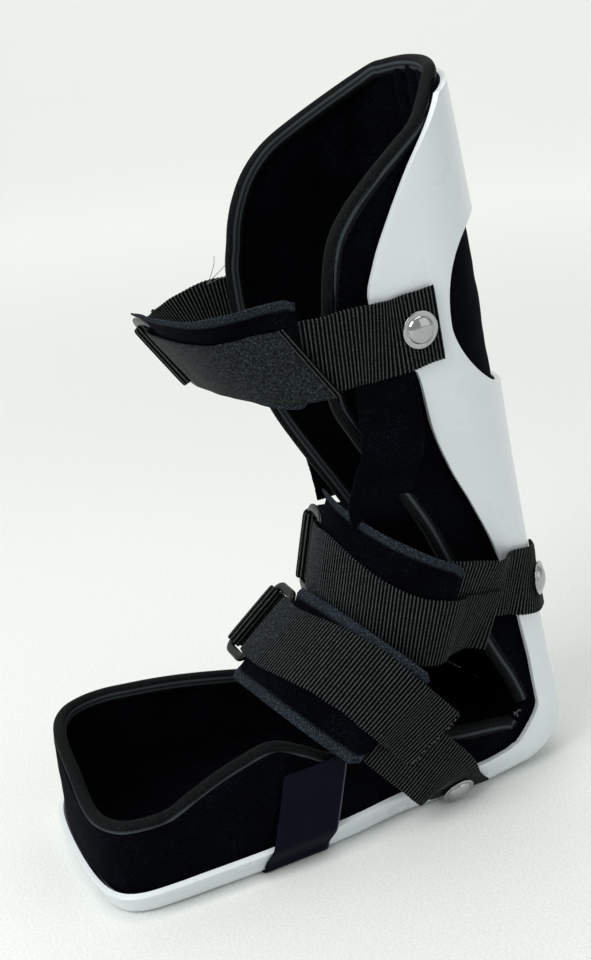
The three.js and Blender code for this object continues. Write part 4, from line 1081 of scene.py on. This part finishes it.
# Polyester twill: dark blue with a faint shine. A pale line along its heel-ward edge is a painted highlight,
# where that edge catches the light. Its lines are 1.1 mm apart, coarser than the yarn, so that they show.
TWILL_PITCH, EDGE_HIGHLIGHT_WIDE, EDGE_HIGHLIGHT_FULL = 1.1, 1.2, 0.3
woven, shader = new_material("smooth_woven_tape")
coords = add_node(woven, "ShaderNodeTexCoord")
split = add_node(woven, "ShaderNodeSeparateXYZ", inputs={"Vector": coords.outputs["UV"]})
twill = add_node(woven, "ShaderNodeMath", settings={"operation": "ADD"}, inputs={
    0: split.outputs["X"], 1: split.outputs["Y"]})
lines = add_node(woven, "ShaderNodeMath", settings={"operation": "MULTIPLY"}, inputs={
    0: twill.outputs["Value"], 1: 2 * math.pi / (TWILL_PITCH * MM)})
wave = add_node(woven, "ShaderNodeMath", settings={"operation": "SINE"}, inputs={0: lines.outputs["Value"]})
yarn = add_node(woven, "ShaderNodeMapRange", inputs={"Value": wave.outputs["Value"], "From Min": -1.0})
colour = add_node(woven, "ShaderNodeValToRGB", inputs={"Fac": yarn.outputs["Result"]}, stops=[
    (0.2, "#03040a"), (0.8, "#0b1020")])
bump = add_node(woven, "ShaderNodeBump", inputs={
    "Height": yarn.outputs["Result"], "Strength": 0.4, "Distance": 0.2 * MM})
# Painted highlight: a pale line along the tape's heel-ward edge only, standing in for the light on that
# edge.
edge_highlight = add_node(woven, "ShaderNodeMapRange", inputs={
    "Value": split.outputs["X"], "From Min": (TAPE_WIDTH / 2 - EDGE_HIGHLIGHT_WIDE) * MM,
    "From Max": (TAPE_WIDTH / 2 - EDGE_HIGHLIGHT_FULL) * MM})
edged = add_node(woven, "ShaderNodeMix", settings={"data_type": "RGBA"}, inputs={
    0: edge_highlight.outputs["Result"], 6: colour.outputs["Color"], 7: linear("#596069")})
set_inputs(woven, shader, {
    "Base Color": edged.outputs[2], "Normal": bump.outputs["Normal"], "Roughness": 0.6,
    "Specular IOR Level": 0.05})


def tape_outline(y, side, height):
    """The tape's way at a place along the foot: the groove's floor, the flange, and up the liner's wall."""
    place = station_at((y - HEEL_REACH) / (HEEL_REACH - FAN_Y), side)
    floor = place["half"] - FOOT_CORNER
    low = GROOVE_DEEP - TAPE_OFF
    rim = place["half"] + place["flare"] * (FLANGE_RISE - FOOT_CORNER) + 1.2 * TAPE_OFF
    wall = rim - 1.2 * TAPE_OFF - LINER_INSET + 1.4 * TAPE_OFF
    rows = [(0, low), (0.6 * floor, low), (floor, low)]
    reach = FOOT_CORNER + TAPE_OFF
    for degrees in (46, 62, 78, 90):
        turn = math.radians(degrees)
        rows.append((floor + reach * math.sin(turn), max(FOOT_CORNER - reach * math.cos(turn), low)))
    rows += [(rim, FLANGE_RISE), (rim + 0.2, 1.2 * FLANGE_RISE), (wall + 0.6, 0.6 * height), (wall, height)]
    return [Vector((side * x, y, z)) for x, z in rows]


def tape_edges(side, top_y, height):
    """Both edges of one side of the tape, which drifts along the foot as it rises."""
    edges = []
    for edge in (-0.5, 0.5):
        line = []
        for k, p in enumerate(tape_outline(TAPE_FOOT, side, height)):
            y = TAPE_FOOT + (top_y - TAPE_FOOT) * smoothstep(p.z, 0, height) + edge * TAPE_WIDTH
            line.append(tape_outline(y, side, height)[k])
        edges.append(line)
    return edges


far_edges, near_edges = tape_edges(-1, 0, 52), tape_edges(1, -21, 55)
both = [list(reversed(far)) + near[1:] for far, near in zip(far_edges, near_edges)]
front, tape_length = curve_through(both[0], TAPE_STEPS)
rear, _ = curve_through(both[1], TAPE_STEPS)
frames = []
for k in range(TAPE_STEPS + 1):
    across = Vector(rear[k] - front[k]).normalized()
    a, b = max(k - 1, 0), min(k + 1, TAPE_STEPS)
    along = Vector(front[b] + rear[b] - front[a] - rear[a]).normalized()
    frames.append((Vector(front[k] + rear[k]) / 2, across, along.cross(across).normalized()))


def tape_section(k, run):
    outline = []
    for c, s in turns_of(20):
        edge = TAPE_WIDTH / 2 + 0.3 * noise.noise(Vector((run / 15, 3, math.copysign(2, c))))
        outline.append((edge * signed_power(c, 0.2), WEBBING_THICK / 2 * signed_power(s, 0.4)))
    return outline


tape = swept("forefoot_tape_woven", frames, tape_section)
tape.data.materials.append(woven)
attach(tape, "root")
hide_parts("forefoot_tape")


# Side bands: strips of the liner's velour sewn inside the calf strap that hang to behind the ankle pad.
BAND_WIDTH, BAND_THICK, BAND_STEPS = 34, 2.5, 130
# Where the band hangs on the calf loop, then x, y, z down its middle and how far its width turns there
BANDS = {
    "near": (0.102, [(56, 35, 216, 0.04), (49, 33, 198, 0.12), (38, 35, 182, 0.24), (29, 40, 168, 0.30),
                     (24, 43, 158, 0.30)]),
    "far": (0.896, [(-58.3, 43, 230, 0), (-57.5, 45, 216, 0), (-54.5, 48, 198, 0), (-51, 50, 182, 0),
                    (-48.5, 52, 167, 0), (-47.5, 53, 157, 0)]),
}


def band_section(k, run):
    outline = []
    for c, s in turns_of(28):
        edge = BAND_WIDTH / 2 + 0.7 * noise.noise(Vector((run / 9, 5, math.copysign(3, c))))
        edge += 0.35 * noise.noise(Vector((run / 1.5, 9, math.copysign(3, c))))
        outline.append((edge * signed_power(c, 0.4), BAND_THICK / 2 * signed_power(s, 0.5)))
    return outline


for side, (hang, rows) in BANDS.items():
    middles, wides = [], []
    for drop in (-0.512, -0.6):
        point, across, face, along = loops["calf"][0](
            hang, -(WEBBING_THICK + BAND_THICK) / 2, drop * WEBBING_WIDTH)
        middles.append(point)
        wides.append(along * math.copysign(1, along.y))
    for x, y, z, swing in rows:
        middles.append(Vector((x, y, z)))
        wides.append(Vector((swing, 1, 0.1)).normalized())
    line, length = curve_through(middles, BAND_STEPS)
    tips, _ = curve_through([m + w * 10 for m, w in zip(middles, wides)], BAND_STEPS)
    band = swept(f"side_band_{side}_velour", frames_along(line, tips), band_section)
    band.data.materials.append(liner_velour)
    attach(band, "root")
    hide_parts(f"side_band_{side}")


# Loose threads: frayed ends of the instep tail, ends hanging from the calf strap and the crossed stitches
# that tack the liner's two halves together at each side.
# Spun polyester: fuzzy and matt, with a twist every 0.4 mm. Its paleness beside the cloth is partly its own
# grey, partly painted highlight where it stands against the light.
thread, shader = new_material("polyester_thread")
coords = add_node(thread, "ShaderNodeTexCoord").outputs["Object"]
ply = add_node(thread, "ShaderNodeTexNoise", inputs={"Vector": coords, "Scale": 2.5 / MM})
# The paler end of this ramp is partly painted highlight, lightening the thread beyond its own grey.
ply_and_highlight = add_node(thread, "ShaderNodeValToRGB", inputs={"Fac": ply.outputs["Fac"]}, stops=[
    (0.35, "#2c2e30"), (0.65, "#6d6f6e")])
set_inputs(thread, shader, {"Base Color": ply_and_highlight.outputs["Color"], "Roughness": 0.7})


THREAD_STEPS, THREAD_SIDES, FRAY_COUNT = 14, 6, 46


def thread_between(points, radius):
    """One thread along the smooth curve through the points."""
    line, _ = curve_through(points, THREAD_STEPS)
    frames = []
    for k in range(THREAD_STEPS + 1):
        along = Vector(line[min(k + 1, THREAD_STEPS)] - line[max(k - 1, 0)]).normalized()
        side = along.orthogonal().normalized()
        frames.append((Vector(line[k]), side, along.cross(side)))
    ring = [(radius * c, radius * s) for c, s in turns_of(THREAD_SIDES, 0)]
    return swept("thread", frames, lambda k, run: ring)


def thread_bundle(name, lines, radius):
    """Makes a piece of several threads."""
    strands = [thread_between(line, radius) for line in lines]
    joined = bmesh.new()
    for strand in strands:
        joined.from_mesh(strand.data)
        bpy.data.objects.remove(strand)
    bundle = piece_from(name, joined)
    smooth(bundle)
    bundle.data.materials.append(thread)
    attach(bundle, "root")


def jitter(seed, reach):
    """A small move that is the same each run."""
    spot = Vector((seed * 1.7, 3.1, 0.3))
    return Vector((noise.noise(spot), noise.noise(spot * 1.3 + spot), noise.noise(spot * 2.1))) * reach


(end_point, end_across, end_face), end_way = tails["instep"]
end_along = end_across.cross(end_face).normalized()
end_along *= math.copysign(1, end_along.dot(end_way))
fray = []
for k in range(FRAY_COUNT):
    root = end_point + end_across * ((k + 0.5) / FRAY_COUNT - 0.5) * (WEBBING_WIDTH - 0.6)
    reach = 1.2 + 1.6 * abs(noise.noise(Vector((k * 0.9, 0, 0))))
    fray.append([root - end_along * 0.8, root + end_along * reach * 0.5 + jitter(k, 0.8),
                 root + end_along * reach + jitter(k + 60, 2.0)])
thread_bundle("frayed_end", fray, 0.16)

loose = []
start = loops["calf"][0](STRAPS["calf"]["bar_at"] + 0.21, 0, 17)[0]
for k in range(3):
    drop = Vector((2 + 3 * k, 6 + 4 * k, 16 - 6 * k))
    loose.append([start + jitter(k, 2), start + drop * 0.5 + jitter(k + 9, 4),
                  start + drop + jitter(k + 20, 3)])
thread_bundle("loose_threads", loose, 0.17)

stitches = []
for side in (1, -1):
    (outer, inner), away = edge_pair(0.5, side)
    middle = (outer + inner) / 2 + away * 2
    for k in range(4):
        lean = Vector((side * 0.6, 2.6 * math.cos(0.5 + k * 0.9), 2.6 * math.sin(0.5 + k * 0.9)))
        mid = middle + Vector((side * 3.9, 0, 0)) + jitter(k + 40, 1.6)
        stitches.append([mid - lean + Vector((side * 1.0, 0, 0)), mid + jitter(k, 0.6), mid + lean * 0.9])
thread_bundle("tacking_stitches", stitches, 0.16)


# Floor and light: a pale sweep of paper, curved up far behind, under a large soft box high on the left,
# with a weaker one on the right and one above.
SWEEP_COLUMNS, SWEEP_ROWS, SWEEP_WIDTH, SWEEP_RUN = 24, 60, 9000, 8400
SWEEP_FRONT, SWEEP_STRAIGHT, SWEEP_RADIUS = 2000, 4900, 900


def sweep_point(column, row):
    across = (column / SWEEP_COLUMNS - 0.5) * SWEEP_WIDTH
    run = row / SWEEP_ROWS * SWEEP_RUN
    if run < SWEEP_STRAIGHT:
        return (across, SWEEP_FRONT - run, 0)
    turn = min((run - SWEEP_STRAIGHT) / SWEEP_RADIUS, math.pi / 2)
    rise = max(run - SWEEP_STRAIGHT - SWEEP_RADIUS * math.pi / 2, 0)
    return (across, SWEEP_FRONT - SWEEP_STRAIGHT - SWEEP_RADIUS * math.sin(turn),
            SWEEP_RADIUS * (1 - math.cos(turn)) + rise)


floor = mapped_grid("floor", SWEEP_COLUMNS, SWEEP_ROWS, sweep_point)
floor.data.transform(Matrix.Rotation(math.pi + AZIMUTH, 4, "Z"))
smooth(floor)
# Uncoated paper: matt, with a tooth of about 1.4 mm that is drawn coarse. Far off, where the lamps don't
# reach, it has a painted glow, so that the wall is as pale as the floor.
paper, shader = new_material("pale_paper")
coords = add_node(paper, "ShaderNodeTexCoord").outputs["Object"]
grain = add_node(paper, "ShaderNodeTexNoise", inputs={"Vector": coords, "Scale": 0.7 / MM, "Detail": 2.0})
tone = add_node(paper, "ShaderNodeValToRGB", inputs={"Fac": grain.outputs["Fac"]}, stops=[
    (0.3, "#dbdedb"), (0.7, "#e8eae7")])
bump = add_node(paper, "ShaderNodeBump", inputs={
    "Height": grain.outputs["Fac"], "Strength": 0.2, "Distance": 0.6 * MM})
# Painted glow: the paper emits light that rises with its distance from the middle, in place of lamp light.
away = add_node(paper, "ShaderNodeVectorMath", settings={"operation": "LENGTH"}, inputs={0: coords})
painted_glow = add_node(paper, "ShaderNodeMapRange", settings={"interpolation_type": "SMOOTHSTEP"}, inputs={
    "Value": away.outputs["Value"], "From Min": 0.5, "From Max": 2.3, "To Max": 0.36})
set_inputs(paper, shader, {
    "Base Color": tone.outputs["Color"], "Normal": bump.outputs["Normal"], "Roughness": 0.9,
    "Emission Color": linear("#f2f5ef"), "Emission Strength": painted_glow.outputs["Result"]})
floor.data.materials.append(paper)

for name, place, size, watts in (("key", (0.5, -1.5, 1.5), 1.2, 30), ("fill", (1.5, 1.3, 1.0), 1.8, 7),
                                 ("top", (-0.3, 0.1, 1.9), 1.6, 14)):
    light = bpy.data.lights.new(name, "AREA")
    light.size = size
    light.energy = watts
    lamp = bpy.data.objects.new(name, light)
    lamp.location = place
    lamp.rotation_euler = (Vector((0, 0, 0.15)) - Vector(place)).to_track_quat("-Z", "Y").to_euler()
    bpy.context.scene.collection.objects.link(lamp)
world = bpy.data.worlds.new("soft_room")
world.use_nodes = True
world.node_tree.nodes["Background"].inputs["Color"].default_value = linear("#f4f6f6")
world.node_tree.nodes["Background"].inputs["Strength"].default_value = 0.52
bpy.context.scene.world = world
bpy.context.scene.view_settings.view_transform = "Standard"
